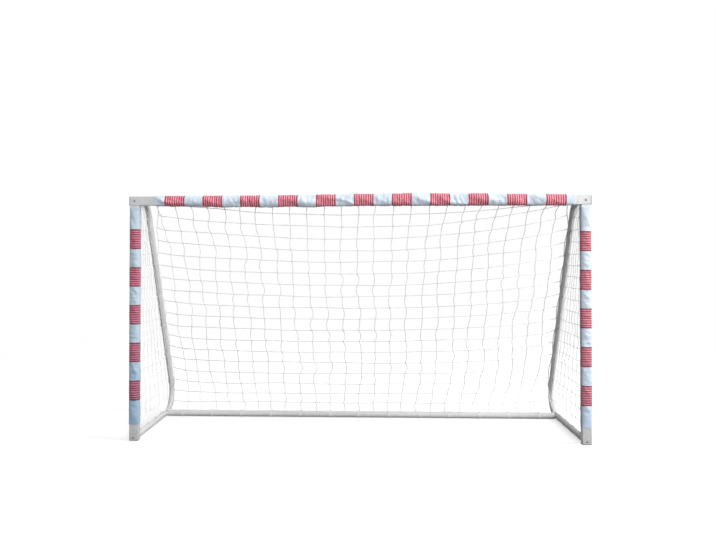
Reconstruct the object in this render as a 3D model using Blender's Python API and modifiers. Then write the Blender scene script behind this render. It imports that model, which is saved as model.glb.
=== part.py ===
"""A free-standing garden soccer goal.

The front frame is rectangular steel profile in fabric sleeves. Behind each post a side frame of round
tube runs back from the top corner, down a slope and forward along the ground to the foot. A rear bar
joins the two side frames, and a net in three panels is tied to them.

Metres, +Z up. The mouth faces -Y. The origin is on the ground, in the middle of the overall box.
"""

import math

import bmesh
import bpy
from mathutils import Matrix, Vector

# Overall sizes
WIDTH = 3.000  # over the crossbar's end caps
HEIGHT = 1.600  # ground to the top of the crossbar's sleeve
DEPTH = 0.900  # bolt heads to the back of the side frames

# Rectangular profile of the crossbar and posts
PROFILE_FACE = 0.060  # as seen from the front
PROFILE_DEEP = 0.040  # front to back
PROFILE_WALL = 0.0015
PROFILE_ROUND = 0.004  # outer corner radius
LEAST_ROUND = 0.001  # corner radius where an inner tube is too small for an even wall round the corner

# Joints inside the profile
COUPLER_LENGTH = 0.200
SPIGOT_LENGTH = 0.060  # welded under the crossbar, goes down into the post
CROSSBAR_JOINT = 0.500  # from the middle to each joint of the crossbar
POST_JOINT = 0.780  # height of the joint in each post

# Plastic caps
CAP_FLANGE = 0.005  # crossbar end cap, thickness outside the tube
CAP_PLUG = 0.020
CAP_WALL = 0.002
FOOT_FLANGE = 0.004
FOOT_PLUG = 0.012

# Round tube of the side frames and the rear bar
TUBE_DIAMETER = 0.040
TUBE_WALL = 0.0015
SLOPE_LEAN = math.radians(24.0)  # of the sloping tube, from the vertical
TOP_BEND = 0.120  # centreline radius behind the crossbar
LOW_BEND = 0.140  # centreline radius above the ground
REAR_BAR_BACK = 0.700  # front faces to the rear bar's middle
REAR_JOINT = 0.490  # from the middle to each joint of the rear bar
SADDLE = 0.0015  # left between the rear bar's end and the ground tube
SLOPE_JOINT = 0.620  # from the top bend down to the joint in the slope
LOW_STRAIGHT = 0.012  # from the low bend up to the joint above it

# Swaged joints between round tubes
SWAGE_LENGTH = 0.060
SWAGE_TAPER = 0.003

# Bolts through the profile into the tube ends
BOLT_DIAMETER = 0.008
BOLT_HEAD = 0.014
BOLT_HEAD_HIGH = 0.0044
BOLT_SOCKET = 0.005  # across the flats
BOLT_SOCKET_DEEP = 0.0026
BOLT_CHAMFER = 0.0008
PLUG_LENGTH = 0.025

HEAD_RIM = 0.0006  # straight edge under the dome of every head

# Screws that lock the swaged joints
SCREW_DIAMETER = 0.0042
SCREW_HEAD = 0.0090
SCREW_HEAD_HIGH = 0.0026
SCREW_LENGTH = 0.0090
SCREW_POINT = 0.0020

# Fabric sleeves
SLEEVE_THICK = 0.0015
BARE_LEFT = 0.170  # steel left bare at the crossbar's left end
BARE_RIGHT = 0.103  # and at its right end
BARE_TOP = 0.018  # steel left bare under the crossbar
BARE_FOOT = 0.115  # ground to the lower end of a post's sleeve

# Net
ROPE = 0.006  # border
STRAND = 0.004
BACK_COLUMNS = 20
BACK_ROWS = 12
SIDE_COLUMNS = 5
NET_DROP = 0.010  # the net's top edge below the middle of the crossbar
CORNER_CUT = 0.100  # width over which the top edge runs back to its corners, where the arms bend
PULL = 0.350  # how far in from the side frames their pull on the net fades out
PULL_START = 0.330  # down the net's edge, length over which that pull sets in
SLACK = 0.030  # how far the middle of the net hangs out of a straight line

# Straps round the tubes, and loops sewn to the sleeves, that hold the net's border
TAPE_WIDTH = 0.016
TAPE_THICK = 0.0012
REAR_TIES = 6
SLOPE_TIE_ROWS = (2, 5, 8)  # each between this row of knots and the next
CROSSBAR_LOOPS = 8
POST_LOOPS = 4

# Clearances
FIT = 0.0003  # between a part and the one it slides into
TOUCH = 0.0003  # between parts that rest on each other

# Facets
TUBE_RESOLUTION = 6  # a curve's bevel, 16 sides
ROUND_STEPS = 16
ROPE_STEPS = 8
SCREW_STEPS = 8
DOME_STEPS = 3
CORNER_STEPS = 2
TOP_BEND_STEPS = 6
LOW_BEND_STEPS = 9
CUT_MARGIN = 0.005  # how far a cutter passes the surface it opens
WELD = 1e-5
SHARP_ANGLE = math.radians(35)  # edges sharper than this aren't shaded smooth

# Places worked out from the sizes above
SLEEVE_OUT = TOUCH + SLEEVE_THICK
FRONT_Y = TOUCH + BOLT_HEAD_HIGH - DEPTH / 2
MEMBER_Y = FRONT_Y + PROFILE_DEEP / 2
BEHIND_Y = FRONT_Y + PROFILE_DEEP
CROSSBAR_Z = HEIGHT - SLEEVE_OUT - PROFILE_FACE / 2
UNDERSIDE_Z = CROSSBAR_Z - PROFILE_FACE / 2
STEEL_X = WIDTH / 2 - CAP_FLANGE
POST_X = STEEL_X - PROFILE_FACE / 2
TUBE_R = TUBE_DIAMETER / 2
TUBE_Z = TUBE_R + TOUCH + TAPE_THICK
SWAGE_R = TUBE_R - TUBE_WALL - FIT
REAR_BAR_Y = FRONT_Y + REAR_BAR_BACK
TUBE_FRONT_Y = BEHIND_Y + TOUCH
BOLT_HOLE_R = BOLT_DIAMETER / 2 + FIT
SCREW_HOLE_R = SCREW_DIAMETER / 2 + FIT
ROPE_R = ROPE / 2
ROPE_MITRE = ROPE_R / 4  # how far a corner of the border stands out where it bends
ROPE_OFF = TUBE_R + TOUCH + ROPE_R
ROPE_BEHIND_Y = BEHIND_Y + SLEEVE_OUT + 2 * TOUCH + ROPE_R
NET_X = POST_X - ROPE_OFF
NET_TOP_Z = CROSSBAR_Z - NET_DROP
NET_LOW_Z = TUBE_Z + ROPE_OFF
SIDE_TOP_Z = CROSSBAR_Z - ROPE_OFF
SIDES = (("left", -1), ("right", 1))

# The slope's directions in a side frame's own (y, z) plane
UP = Vector((-math.sin(SLOPE_LEAN), math.cos(SLOPE_LEAN)))
OUTWARD = Vector((math.cos(SLOPE_LEAN), math.sin(SLOPE_LEAN)))
LOW_CENTRE = Vector((DEPTH / 2 - TUBE_R - LOW_BEND, TUBE_Z + LOW_BEND))
LOW_END = LOW_CENTRE + OUTWARD * LOW_BEND
CORNER = Vector((LOW_END.x - (CROSSBAR_Z - LOW_END.y) * math.tan(SLOPE_LEAN), CROSSBAR_Z))
TOP_REACH = TOP_BEND * math.tan((math.pi / 2 - SLOPE_LEAN) / 2)
TOP_CENTRE = Vector((CORNER.x - TOP_REACH, CROSSBAR_Z - TOP_BEND))
TOP_END = TOP_CENTRE + OUTWARD * TOP_BEND
MIDDLE_JOINT = TOP_END - UP * SLOPE_JOINT
LOW_JOINT = LOW_END + UP * LOW_STRAIGHT


def clear_scene():
    for thing in list(bpy.data.objects):
        bpy.data.objects.remove(thing, do_unlink=True)


def collection(name):
    made = bpy.data.collections.new(name)
    bpy.context.scene.collection.children.link(made)
    return made


def material(name, colour, roughness, metallic=0.0):
    made = bpy.data.materials.new(name)
    made.use_nodes = True
    shader = made.node_tree.nodes["Principled BSDF"]
    shader.inputs["Base Color"].default_value = (*colour, 1.0)
    shader.inputs["Roughness"].default_value = roughness
    shader.inputs["Metallic"].default_value = metallic
    made.diffuse_color = (*colour, 1.0)
    return made


clear_scene()
GOAL = collection("soccer_goal")
CUTTERS = collection("cutters")
STEEL = material("steel_profile", (0.62, 0.63, 0.65), 0.45, 0.3)
TUBE = material("white_tube", (0.80, 0.81, 0.82), 0.35)
PLASTIC = material("grey_plastic", (0.35, 0.36, 0.38), 0.55)
ZINC = material("zinc_fastener", (0.60, 0.60, 0.58), 0.35, 1.0)
FABRIC = material("sleeve_fabric", (0.66, 0.72, 0.82), 0.85)
CORD = material("net_cord", (0.86, 0.86, 0.86), 0.80)
TAPE = material("white_tape", (0.85, 0.85, 0.84), 0.80)


def keep(thing, finish):
    """Moves an object to the goal's collection and gives it its finish."""
    for home in list(thing.users_collection):
        home.objects.unlink(thing)
    GOAL.objects.link(thing)
    thing.data.materials.clear()
    thing.data.materials.append(finish)
    return thing


def as_mesh(curve):
    """Replaces a curve object by a mesh object of the same name, place and shape."""
    graph = bpy.context.evaluated_depsgraph_get()
    mesh = bpy.data.meshes.new_from_object(curve.evaluated_get(graph))
    place = curve.matrix_world.copy()
    name = curve.name
    bpy.data.objects.remove(curve, do_unlink=True)
    shape = bmesh.new()
    shape.from_mesh(mesh)
    bmesh.ops.remove_doubles(shape, verts=shape.verts, dist=WELD)
    bmesh.ops.recalc_face_normals(shape, faces=shape.faces)
    shape.to_mesh(mesh)
    shape.free()
    mesh.shade_smooth()
    mesh.set_sharp_from_angle(angle=SHARP_ANGLE)
    made = bpy.data.objects.new(name, mesh)
    made.matrix_world = place
    bpy.context.scene.collection.objects.link(made)
    bpy.context.view_layer.update()
    return made


def prism(name, outlines, length, place):
    """Flat outlines, the first with the others as its holes, given half the length to each side of z = 0."""
    data = bpy.data.curves.new(name, "CURVE")
    data.dimensions = "2D"
    data.fill_mode = "BOTH"
    data.extrude = length / 2
    for outline in outlines:
        spline = data.splines.new("POLY")
        spline.points.add(len(outline) - 1)
        for point, (x, y) in zip(spline.points, outline):
            point.co = (x, y, 0.0, 1.0)
        spline.use_cyclic_u = True
    curve = bpy.data.objects.new(name, data)
    curve.matrix_world = place
    bpy.context.scene.collection.objects.link(curve)
    bpy.context.view_layer.update()
    return as_mesh(curve)


def swept(name, points, radii, caps=True):
    """A round bar along the points, thinner or thicker from one to the next, or without caps its skin."""
    data = bpy.data.curves.new(name, "CURVE")
    data.dimensions = "3D"
    data.bevel_depth = 1.0
    data.bevel_resolution = TUBE_RESOLUTION
    data.use_fill_caps = caps
    spline = data.splines.new("POLY")
    spline.points.add(len(points) - 1)
    for point, place, radius in zip(spline.points, points, radii):
        point.co = (*place, 1.0)
        point.radius = radius
    curve = bpy.data.objects.new(name, data)
    bpy.context.scene.collection.objects.link(curve)
    bpy.context.view_layer.update()
    return as_mesh(curve)


def outside(radius, steps):
    """The corner radius of a regular outline whose facets lie at the given radius."""
    return radius / math.cos(math.pi / steps)


def cylinder(name, radius, length, place, steps=ROUND_STEPS):
    """A cylinder that starts at the place and runs along its +Z, its facets at the radius."""
    mesh = bpy.data.meshes.new(name)
    shape = bmesh.new()
    radius = outside(radius, steps)
    half_step = Matrix.Rotation(math.pi / steps, 4, "Z")
    bmesh.ops.create_cone(
        shape, cap_ends=True, segments=steps, radius1=radius, radius2=radius, depth=length,
        matrix=Matrix.Translation((0, 0, length / 2)) @ half_step,
    )
    shape.to_mesh(mesh)
    shape.free()
    made = bpy.data.objects.new(name, mesh)
    made.matrix_world = place
    bpy.context.scene.collection.objects.link(made)
    return made


def turned(name, profile, place, steps=ROUND_STEPS):
    """A profile of (radius, height) points, from top to bottom, turned about Z."""
    mesh = bpy.data.meshes.new(name)
    edges = [(i, i + 1) for i in range(len(profile) - 1)]
    mesh.from_pydata([(radius, 0.0, height) for radius, height in profile], edges, [])
    made = bpy.data.objects.new(name, mesh)
    made.matrix_world = place
    bpy.context.scene.collection.objects.link(made)
    screw = made.modifiers.new("turn", "SCREW")
    screw.steps = steps
    screw.render_steps = steps
    screw.use_merge_vertices = True
    screw.merge_threshold = WELD
    return made


def boolean(target, tool, operation="DIFFERENCE"):
    """Cuts or joins the target with the tool, which is kept out of the render."""
    for home in list(tool.users_collection):
        home.objects.unlink(tool)
    CUTTERS.objects.link(tool)
    tool.hide_render = True
    tool.display_type = "WIRE"
    modifier = target.modifiers.new(tool.name, "BOOLEAN")
    modifier.operation = operation
    modifier.object = tool
    modifier.solver = "EXACT"
    return target


def along(start, direction):
    """A place at the start whose +Z looks along the direction."""
    turn = Vector(direction).to_track_quat("Z", "Y").to_matrix().to_4x4()
    return Matrix.Translation(start) @ turn


def rounded(wide, high, radius):
    """Outline of a rectangle with round corners."""
    outline = []
    for quarter, (sx, sy) in enumerate(((1, 1), (-1, 1), (-1, -1), (1, -1))):
        for step in range(CORNER_STEPS + 1):
            angle = math.pi / 2 * (quarter + step / CORNER_STEPS)
            outline.append((
                sx * (wide / 2 - radius) + radius * math.cos(angle),
                sy * (high / 2 - radius) + radius * math.sin(angle),
            ))
    return outline


def inset(wide, high, radius, by):
    """The rounded rectangle that lies inside another by an even distance."""
    return rounded(wide - 2 * by, high - 2 * by, max(radius - by, LEAST_ROUND))


def circle(centre, radius, steps):
    """A circle's outline whose facets, not its corners, lie at the radius."""
    radius = outside(radius, steps)
    angles = [2 * math.pi * (i + 0.5) / steps for i in range(steps)]
    return [(centre[0] + radius * math.cos(a), centre[1] + radius * math.sin(a)) for a in angles]


def turns_right(a, b, c):
    return (b[0] - a[0]) * (c[1] - a[1]) - (b[1] - a[1]) * (c[0] - a[0]) <= 0


def half_hull(ordered):
    """One side of the outline pulled tight round points that are in order."""
    kept = []
    for point in ordered:
        while len(kept) > 1 and turns_right(kept[-2], kept[-1], point):
            kept.pop()
        kept.append(point)
    return kept[:-1]


def around(circles, grow):
    """The outline of a band pulled tight round some circles, each grown by a distance."""
    points = sorted(p for centre, radius, steps in circles for p in circle(centre, radius + grow, steps))
    return half_hull(points) + half_hull(points[::-1])


def arc(centre, radius, start, end, steps):
    """Points of an arc in the (y, z) plane."""
    angles = [start + (end - start) * i / steps for i in range(steps + 1)]
    return [centre + radius * Vector((math.cos(a), math.sin(a))) for a in angles]


def in_side_frame(side, points):
    """Points of the (y, z) plane set at a side frame's X."""
    return [Vector((side * POST_X, p.x, p.y)) for p in points]


# Places for prisms: local X and Y become the outline's plane, local Z its length
ALONG_X = Matrix(((0, 0, 1, 0), (1, 0, 0, 0), (0, 1, 0, 0), (0, 0, 0, 1)))  # outline in (y, z)
ALONG_Y = Matrix(((1, 0, 0, 0), (0, 0, -1, 0), (0, 1, 0, 0), (0, 0, 0, 1)))  # outline in (x, z)
ALONG_Z = Matrix.Identity(4)  # outline in (x, y)


def profile_outlines(face_first):
    """The steel profile's outer and inner outline, with its face along the first or second axis."""
    wide, high = (PROFILE_FACE, PROFILE_DEEP) if face_first else (PROFILE_DEEP, PROFILE_FACE)
    return [rounded(wide, high, PROFILE_ROUND), inset(wide, high, PROFILE_ROUND, PROFILE_WALL)]


def inner_outlines(face_first, wall):
    """The outlines of a tube that slides into the steel profile."""
    wide, high = (PROFILE_FACE, PROFILE_DEEP) if face_first else (PROFILE_DEEP, PROFILE_FACE)
    slide = PROFILE_WALL + FIT
    return [inset(wide, high, PROFILE_ROUND, slide), inset(wide, high, PROFILE_ROUND, slide + wall)]


def bolt_hole(name, side, height):
    """The cutter of a hole front to back through the profile."""
    start = (side * POST_X, FRONT_Y - CUT_MARGIN, height)
    return cylinder(name, BOLT_HOLE_R, PROFILE_DEEP + 2 * CUT_MARGIN, along(start, (0, 1, 0)))


def crossbar():
    length = 2 * CROSSBAR_JOINT - TOUCH
    place = Matrix.Translation((0, MEMBER_Y, CROSSBAR_Z)) @ ALONG_X
    keep(prism("crossbar_middle", profile_outlines(False), length, place), STEEL)
    for word, side in SIDES:
        length = STEEL_X - CROSSBAR_JOINT - TOUCH / 2
        middle = side * (STEEL_X - length / 2)
        place = Matrix.Translation((middle, MEMBER_Y, CROSSBAR_Z)) @ ALONG_X
        bar = keep(prism(f"crossbar_{word}", profile_outlines(False), length, place), STEEL)
        boolean(bar, spigot(f"spigot_{word}", side), "UNION")
        boolean(bar, bolt_hole(f"corner_hole_{word}", side, CROSSBAR_Z))
        place = Matrix.Translation((side * CROSSBAR_JOINT, MEMBER_Y, CROSSBAR_Z)) @ ALONG_X
        outlines = inner_outlines(False, PROFILE_WALL)
        keep(prism(f"crossbar_coupler_{word}", outlines, COUPLER_LENGTH, place), STEEL)
        end_cap(word, side)


def spigot(name, side):
    """The short tube welded into the crossbar's lower wall, which the post slides over."""
    top = UNDERSIDE_Z + PROFILE_WALL / 2
    bottom = UNDERSIDE_Z - SPIGOT_LENGTH
    place = Matrix.Translation((side * POST_X, MEMBER_Y, (top + bottom) / 2))
    return prism(name, inner_outlines(True, PROFILE_WALL), top - bottom, place)


def end_cap(word, side):
    """The plastic cap that closes the crossbar's end: a flange outside and a hollow plug inside."""
    outline = rounded(PROFILE_DEEP, PROFILE_FACE, PROFILE_ROUND)
    middle = side * (STEEL_X + TOUCH + (CAP_FLANGE - TOUCH) / 2)
    place = Matrix.Translation((middle, MEMBER_Y, CROSSBAR_Z)) @ ALONG_X
    cap = keep(prism(f"crossbar_cap_{word}", [outline], CAP_FLANGE - TOUCH, place), PLASTIC)
    reach = CAP_PLUG + CAP_FLANGE / 2
    place = Matrix.Translation((side * (STEEL_X + CAP_FLANGE / 2 - reach / 2), MEMBER_Y, CROSSBAR_Z))
    plug = prism(f"end_cap_plug_{word}", inner_outlines(False, CAP_WALL), reach, place @ ALONG_X)
    boolean(cap, plug, "UNION")


def posts():
    outlines = profile_outlines(True)
    for word, side in SIDES:
        spans = (
            (f"post_{word}_lower", FOOT_FLANGE + TOUCH, POST_JOINT - TOUCH / 2),
            (f"post_{word}_upper", POST_JOINT + TOUCH / 2, UNDERSIDE_Z - TOUCH),
        )
        for name, low, high in spans:
            place = Matrix.Translation((side * POST_X, MEMBER_Y, (low + high) / 2))
            post = keep(prism(name, outlines, high - low, place), STEEL)
            if low < TUBE_Z:
                boolean(post, bolt_hole(f"foot_hole_{word}", side, TUBE_Z))
        place = Matrix.Translation((side * POST_X, MEMBER_Y, POST_JOINT))
        coupler = prism(f"post_coupler_{word}", inner_outlines(True, PROFILE_WALL), COUPLER_LENGTH, place)
        keep(coupler, STEEL)
        foot_cap(word, side)


def foot_cap(word, side):
    """The plastic cap under the post: a flat pad and a hollow plug that stays below the bolt."""
    outline = rounded(PROFILE_FACE, PROFILE_DEEP, PROFILE_ROUND)
    place = Matrix.Translation((side * POST_X, MEMBER_Y, FOOT_FLANGE / 2))
    cap = keep(prism(f"foot_cap_{word}", [outline], FOOT_FLANGE, place), PLASTIC)
    reach = FOOT_PLUG + FOOT_FLANGE / 2
    place = Matrix.Translation((side * POST_X, MEMBER_Y, FOOT_FLANGE / 2 + reach / 2))
    boolean(cap, prism(f"foot_cap_plug_{word}", inner_outlines(True, CAP_WALL), reach, place), "UNION")


def sleeve_outlines(face_first):
    wide, high = (PROFILE_FACE, PROFILE_DEEP) if face_first else (PROFILE_DEEP, PROFILE_FACE)
    return [
        inset(wide, high, PROFILE_ROUND, -SLEEVE_OUT),
        inset(wide, high, PROFILE_ROUND, -TOUCH),
    ]


def sleeves():
    """Fabric sleeves with the sewn loops that hold the net's border behind them."""
    start, end = BARE_LEFT - STEEL_X, STEEL_X - BARE_RIGHT
    place = Matrix.Translation(((start + end) / 2, MEMBER_Y, CROSSBAR_Z)) @ ALONG_X
    sleeve = keep(prism("sleeve_crossbar", sleeve_outlines(False), end - start, place), FABRIC)
    for index in range(CROSSBAR_LOOPS):
        column = int((index + 0.5) * BACK_COLUMNS / CROSSBAR_LOOPS)
        x = between_columns(column)
        if start + TAPE_WIDTH < x < end - TAPE_WIDTH:
            place = Matrix.Translation((x, 0, 0)) @ ALONG_X
            boolean(sleeve, net_loop(f"crossbar_loop_{index}", (ROPE_BEHIND_Y, NET_TOP_Z), place), "UNION")
    low, high = BARE_FOOT, UNDERSIDE_Z - BARE_TOP
    for word, side in SIDES:
        place = Matrix.Translation((side * POST_X, MEMBER_Y, (low + high) / 2))
        sleeve = keep(prism(f"sleeve_post_{word}", sleeve_outlines(True), high - low, place), FABRIC)
        for index in range(POST_LOOPS):
            row = int((index + 0.5) * BACK_ROWS / POST_LOOPS)
            height = (row_height(row) + row_height(row + 1)) / 2
            if low + TAPE_WIDTH < height < high - TAPE_WIDTH:
                place = Matrix.Translation((side * POST_X, 0, height))
                boolean(sleeve, net_loop(f"post_loop_{word}_{index}", (0, ROPE_BEHIND_Y), place), "UNION")


def net_loop(name, centre, place):
    """A ring of tape, its near side inside the sleeve's cloth."""
    bore = ROPE_R + TOUCH
    outlines = [circle(centre, radius, ROPE_STEPS) for radius in (bore + TAPE_THICK, bore)]
    return prism(name, outlines, TAPE_WIDTH, place)


def round_tube(name, points, radii):
    """A hollow tube with open ends along the points, its wall even where it narrows."""
    tube = keep(swept(name, points, radii, caps=False), TUBE)
    wall = tube.modifiers.new("wall", "SOLIDIFY")
    wall.thickness = TUBE_WALL
    wall.offset = -1.0
    wall.use_even_offset = True
    return tube


def domed_head(radius, high):
    """A fastener head's profile, from the middle of its top round the dome and down its rim."""
    angles = [math.pi / 2 * (1 - i / DOME_STEPS) for i in range(DOME_STEPS + 1)]
    dome = [(radius * math.cos(a), HEAD_RIM + (high - HEAD_RIM) * math.sin(a)) for a in angles]
    return [*dome, (radius, 0.0)]


def screw_place(joint):
    """The middle of the swaged length above a joint in a side frame, where its screw goes in."""
    return joint + UP * (SWAGE_TAPER + SWAGE_LENGTH) / 2


def screw_joint(word, tubes, centre, direction):
    """A screw through the walls of a swaged joint, with its hole in both tubes."""
    reach = TUBE_R - 2 * TUBE_WALL - FIT - CUT_MARGIN
    start = centre + direction * reach
    for index, tube in enumerate(tubes):
        name = f"{word}_hole_{index}"
        length = TUBE_R + CUT_MARGIN - reach
        hole = cylinder(name, SCREW_HOLE_R, length, along(start, direction), SCREW_STEPS)
        boolean(tube, hole)
    shank = SCREW_DIAMETER / 2
    profile = [
        *domed_head(SCREW_HEAD / 2, SCREW_HEAD_HIGH),
        (shank, 0.0),
        (shank, SCREW_POINT - SCREW_LENGTH),
        (0.0, -SCREW_LENGTH),
    ]
    place = along(centre + direction * (TUBE_R + TOUCH), direction)
    keep(turned(word, profile, place, SCREW_STEPS), ZINC)


def side_frames():
    outward = Vector((0, OUTWARD.x, OUTWARD.y))
    for word, side in SIDES:
        front = [Vector((TUBE_FRONT_Y, CROSSBAR_Z))]
        bend = arc(TOP_CENTRE, TOP_BEND, math.pi / 2, SLOPE_LEAN, TOP_BEND_STEPS)
        points = in_side_frame(side, [*front, *bend, MIDDLE_JOINT + UP * SWAGE_TAPER])
        arm = round_tube(f"arm_tube_{word}", points, [TUBE_R] * len(points))

        line = [LOW_JOINT + UP * SWAGE_TAPER, MIDDLE_JOINT]
        line += [MIDDLE_JOINT + UP * SWAGE_TAPER, MIDDLE_JOINT + UP * SWAGE_LENGTH]
        slope = round_tube(f"slope_tube_{word}", in_side_frame(side, line), [TUBE_R] * 2 + [SWAGE_R] * 2)

        bend = arc(LOW_CENTRE, LOW_BEND, -math.pi / 2, SLOPE_LEAN, LOW_BEND_STEPS)
        line = [Vector((TUBE_FRONT_Y, TUBE_Z)), *bend, LOW_JOINT]
        radii = [TUBE_R] * len(line) + [SWAGE_R] * 2
        line += [LOW_JOINT + UP * SWAGE_TAPER, LOW_JOINT + UP * SWAGE_LENGTH]
        ground = ground_tube(word, side, in_side_frame(side, line), radii)

        joints = (("middle", (arm, slope), MIDDLE_JOINT), ("low", (slope, ground), LOW_JOINT))
        for joint, tubes, place in joints:
            centre = in_side_frame(side, [screw_place(place)])[0]
            screw_joint(f"{joint}_screw_{word}", tubes, centre, outward)
        for corner, height in (("corner", CROSSBAR_Z), ("foot", TUBE_Z)):
            tube_plug(f"{corner}_plug_{word}", side, height)
            bolt(f"{corner}_bolt_{word}", side, height)


def ground_tube(word, side, points, radii):
    """The low bend and ground run, with the welded stub that carries the end of the rear bar."""
    name = f"ground_tube_{word}"
    tube = keep(swept(name, points, radii), TUBE)
    tip = side * (POST_X - TUBE_R - SWAGE_LENGTH)
    wall = side * (POST_X - TUBE_R)
    start = Vector((side * POST_X, REAR_BAR_Y, TUBE_Z))
    end = Vector((tip, REAR_BAR_Y, TUBE_Z))
    boolean(tube, swept(f"{name}_stub", [start, end], [SWAGE_R] * 2), "UNION")
    first = points[0] + (points[0] - points[1]).normalized() * CUT_MARGIN
    last = points[-1] + (points[-1] - points[-2]).normalized() * CUT_MARGIN
    inside = [radii[0], *radii, radii[-1]]
    bore = swept(f"{name}_bore", [first, *points, last], [radius - TUBE_WALL for radius in inside])
    boolean(tube, bore)
    start = Vector((wall, REAR_BAR_Y, TUBE_Z))
    end = Vector((tip - side * CUT_MARGIN, REAR_BAR_Y, TUBE_Z))
    return boolean(tube, swept(f"{name}_stub_bore", [start, end], [SWAGE_R - TUBE_WALL] * 2))


def tube_plug(name, side, height):
    """The threaded plug fixed in the front end of a side frame's tube."""
    start = Vector((side * POST_X, TUBE_FRONT_Y, height))
    end = start + Vector((0, PLUG_LENGTH, 0))
    plug = keep(swept(name, [start, end], [SWAGE_R] * 2), ZINC)
    through = cylinder(
        f"{name}_bore", BOLT_HOLE_R, PLUG_LENGTH + 2 * CUT_MARGIN,
        along(start - Vector((0, CUT_MARGIN, 0)), (0, 1, 0)),
    )
    boolean(plug, through)


def bolt(name, side, height):
    """A button-head bolt from the front, through the profile and into the tube's plug."""
    shank = BOLT_DIAMETER / 2
    length = TOUCH + PROFILE_DEEP + TOUCH + PLUG_LENGTH
    profile = [
        *domed_head(BOLT_HEAD / 2, BOLT_HEAD_HIGH),
        (shank, 0.0),
        (shank, BOLT_CHAMFER - length),
        (shank - BOLT_CHAMFER, -length),
        (0.0, -length),
    ]
    place = along((side * POST_X, FRONT_Y - TOUCH, height), (0, -1, 0))
    made = keep(turned(name, profile, place), ZINC)
    top = (side * POST_X, FRONT_Y - TOUCH - BOLT_HEAD_HIGH - CUT_MARGIN, height)
    deep = CUT_MARGIN + BOLT_SOCKET_DEEP
    socket = cylinder(f"{name}_socket", BOLT_SOCKET / 2, deep, along(top, (0, 1, 0)), 6)
    boolean(made, socket)


def on_rear_bar(x):
    """The point of the rear bar's centreline at an X."""
    return Vector((x, REAR_BAR_Y, TUBE_Z))


def rear_bar():
    """Three tubes: the middle one is swaged at both ends, the outer ones slide over it and over the stubs."""
    swages = [REAR_JOINT + SWAGE_TAPER, REAR_JOINT + SWAGE_LENGTH]
    places = [-swages[1], -swages[0], -REAR_JOINT, REAR_JOINT, *swages]
    radii = [SWAGE_R] * 2 + [TUBE_R] * 2 + [SWAGE_R] * 2
    middle = round_tube("rear_bar_middle", [on_rear_bar(x) for x in places], radii)
    backwards = Vector((0, 1, 0))
    for word, side in SIDES:
        places = [side * (REAR_JOINT + SWAGE_TAPER), side * (POST_X - TUBE_R - SADDLE)]
        outer = round_tube(f"rear_bar_{word}", [on_rear_bar(x) for x in places], [TUBE_R] * 2)
        ground = bpy.data.objects[f"ground_tube_{word}"]
        centre = on_rear_bar(side * (REAR_JOINT + (SWAGE_TAPER + SWAGE_LENGTH) / 2))
        screw_joint(f"rear_screw_{word}", (outer, middle), centre, backwards)
        centre = on_rear_bar(side * (POST_X - TUBE_R - SWAGE_LENGTH / 2))
        screw_joint(f"stub_screw_{word}", (outer, ground), centre, backwards)


def between_columns(column):
    """X halfway between two of the back net's strands."""
    return NET_X * (2 * (column + 0.5) / BACK_COLUMNS - 1)


def edge_route():
    """The back net's side edge in the (y, z) plane: from the arm down the slope and in to the rear bar."""
    bend = arc(TOP_CENTRE, TOP_BEND, math.pi / 2, SLOPE_LEAN, TOP_BEND_STEPS)
    return [*bend, LOW_END, Vector((REAR_BAR_Y, NET_LOW_Z))]


def route_length(route):
    return sum((b - a).length for a, b in zip(route, route[1:]))


def on_route(route, share):
    """The point at a share of a route's length."""
    spans = [(b - a).length for a, b in zip(route, route[1:])]
    left = share * sum(spans)
    for a, b, span in zip(route, route[1:], spans):
        if left <= span:
            return a.lerp(b, left / span)
        left -= span
    return route[-1].copy()


def row_height(row):
    """Z at which a row of knots meets the side frame: the back net and the side nets share it."""
    if row == 0:
        return SIDE_TOP_Z
    if row == BACK_ROWS:
        return NET_LOW_Z
    return min(on_route(edge_route(), row / BACK_ROWS).y, SIDE_TOP_Z)


def back_point(across, down):
    """A point of the back net, with across from -1 to 1 and down from 0 to 1."""
    aside = (1 - abs(across)) * NET_X
    top, bottom = Vector((ROPE_BEHIND_Y, NET_TOP_Z)), Vector((REAR_BAR_Y, NET_LOW_Z))
    chord = (bottom - top).normalized()
    belly = Vector((chord.y, -chord.x)) * SLACK * math.sin(math.pi * down)
    middle = top.lerp(bottom, down) + belly
    edge = on_route(edge_route(), down)
    cut = max(0.0, 1 - aside / CORNER_CUT) ** 2
    pull = math.exp(-aside / PULL)
    fade = min(1.0, down * route_length(edge_route()) / PULL_START)
    point = middle.lerp(edge, cut + (pull - cut) * fade)
    return Vector((across * NET_X, point.x, point.y))


def inner_edge_y(height):
    """Y of the side net's back edge: inside the top bend, the slope and the low bend."""
    top, low = TOP_BEND - ROPE_OFF - ROPE_MITRE, LOW_BEND - ROPE_OFF - ROPE_MITRE
    if height > TOP_CENTRE.y + top * OUTWARD.y:
        return TOP_CENTRE.x + math.sqrt(max(0.0, top**2 - (height - TOP_CENTRE.y) ** 2))
    if height < LOW_CENTRE.y + low * OUTWARD.y:
        return LOW_CENTRE.x + math.sqrt(max(0.0, low**2 - (height - LOW_CENTRE.y) ** 2))
    start = LOW_END - OUTWARD * ROPE_OFF
    return start.x - (height - start.y) * math.tan(SLOPE_LEAN)


def side_point(side, across, row):
    """A point of a side net, with across from 0 at the post to 1 at the side frame."""
    height = row_height(row)
    back = inner_edge_y(height)
    return Vector((side * POST_X, ROPE_BEHIND_Y + (back - ROPE_BEHIND_Y) * across, height))


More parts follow.
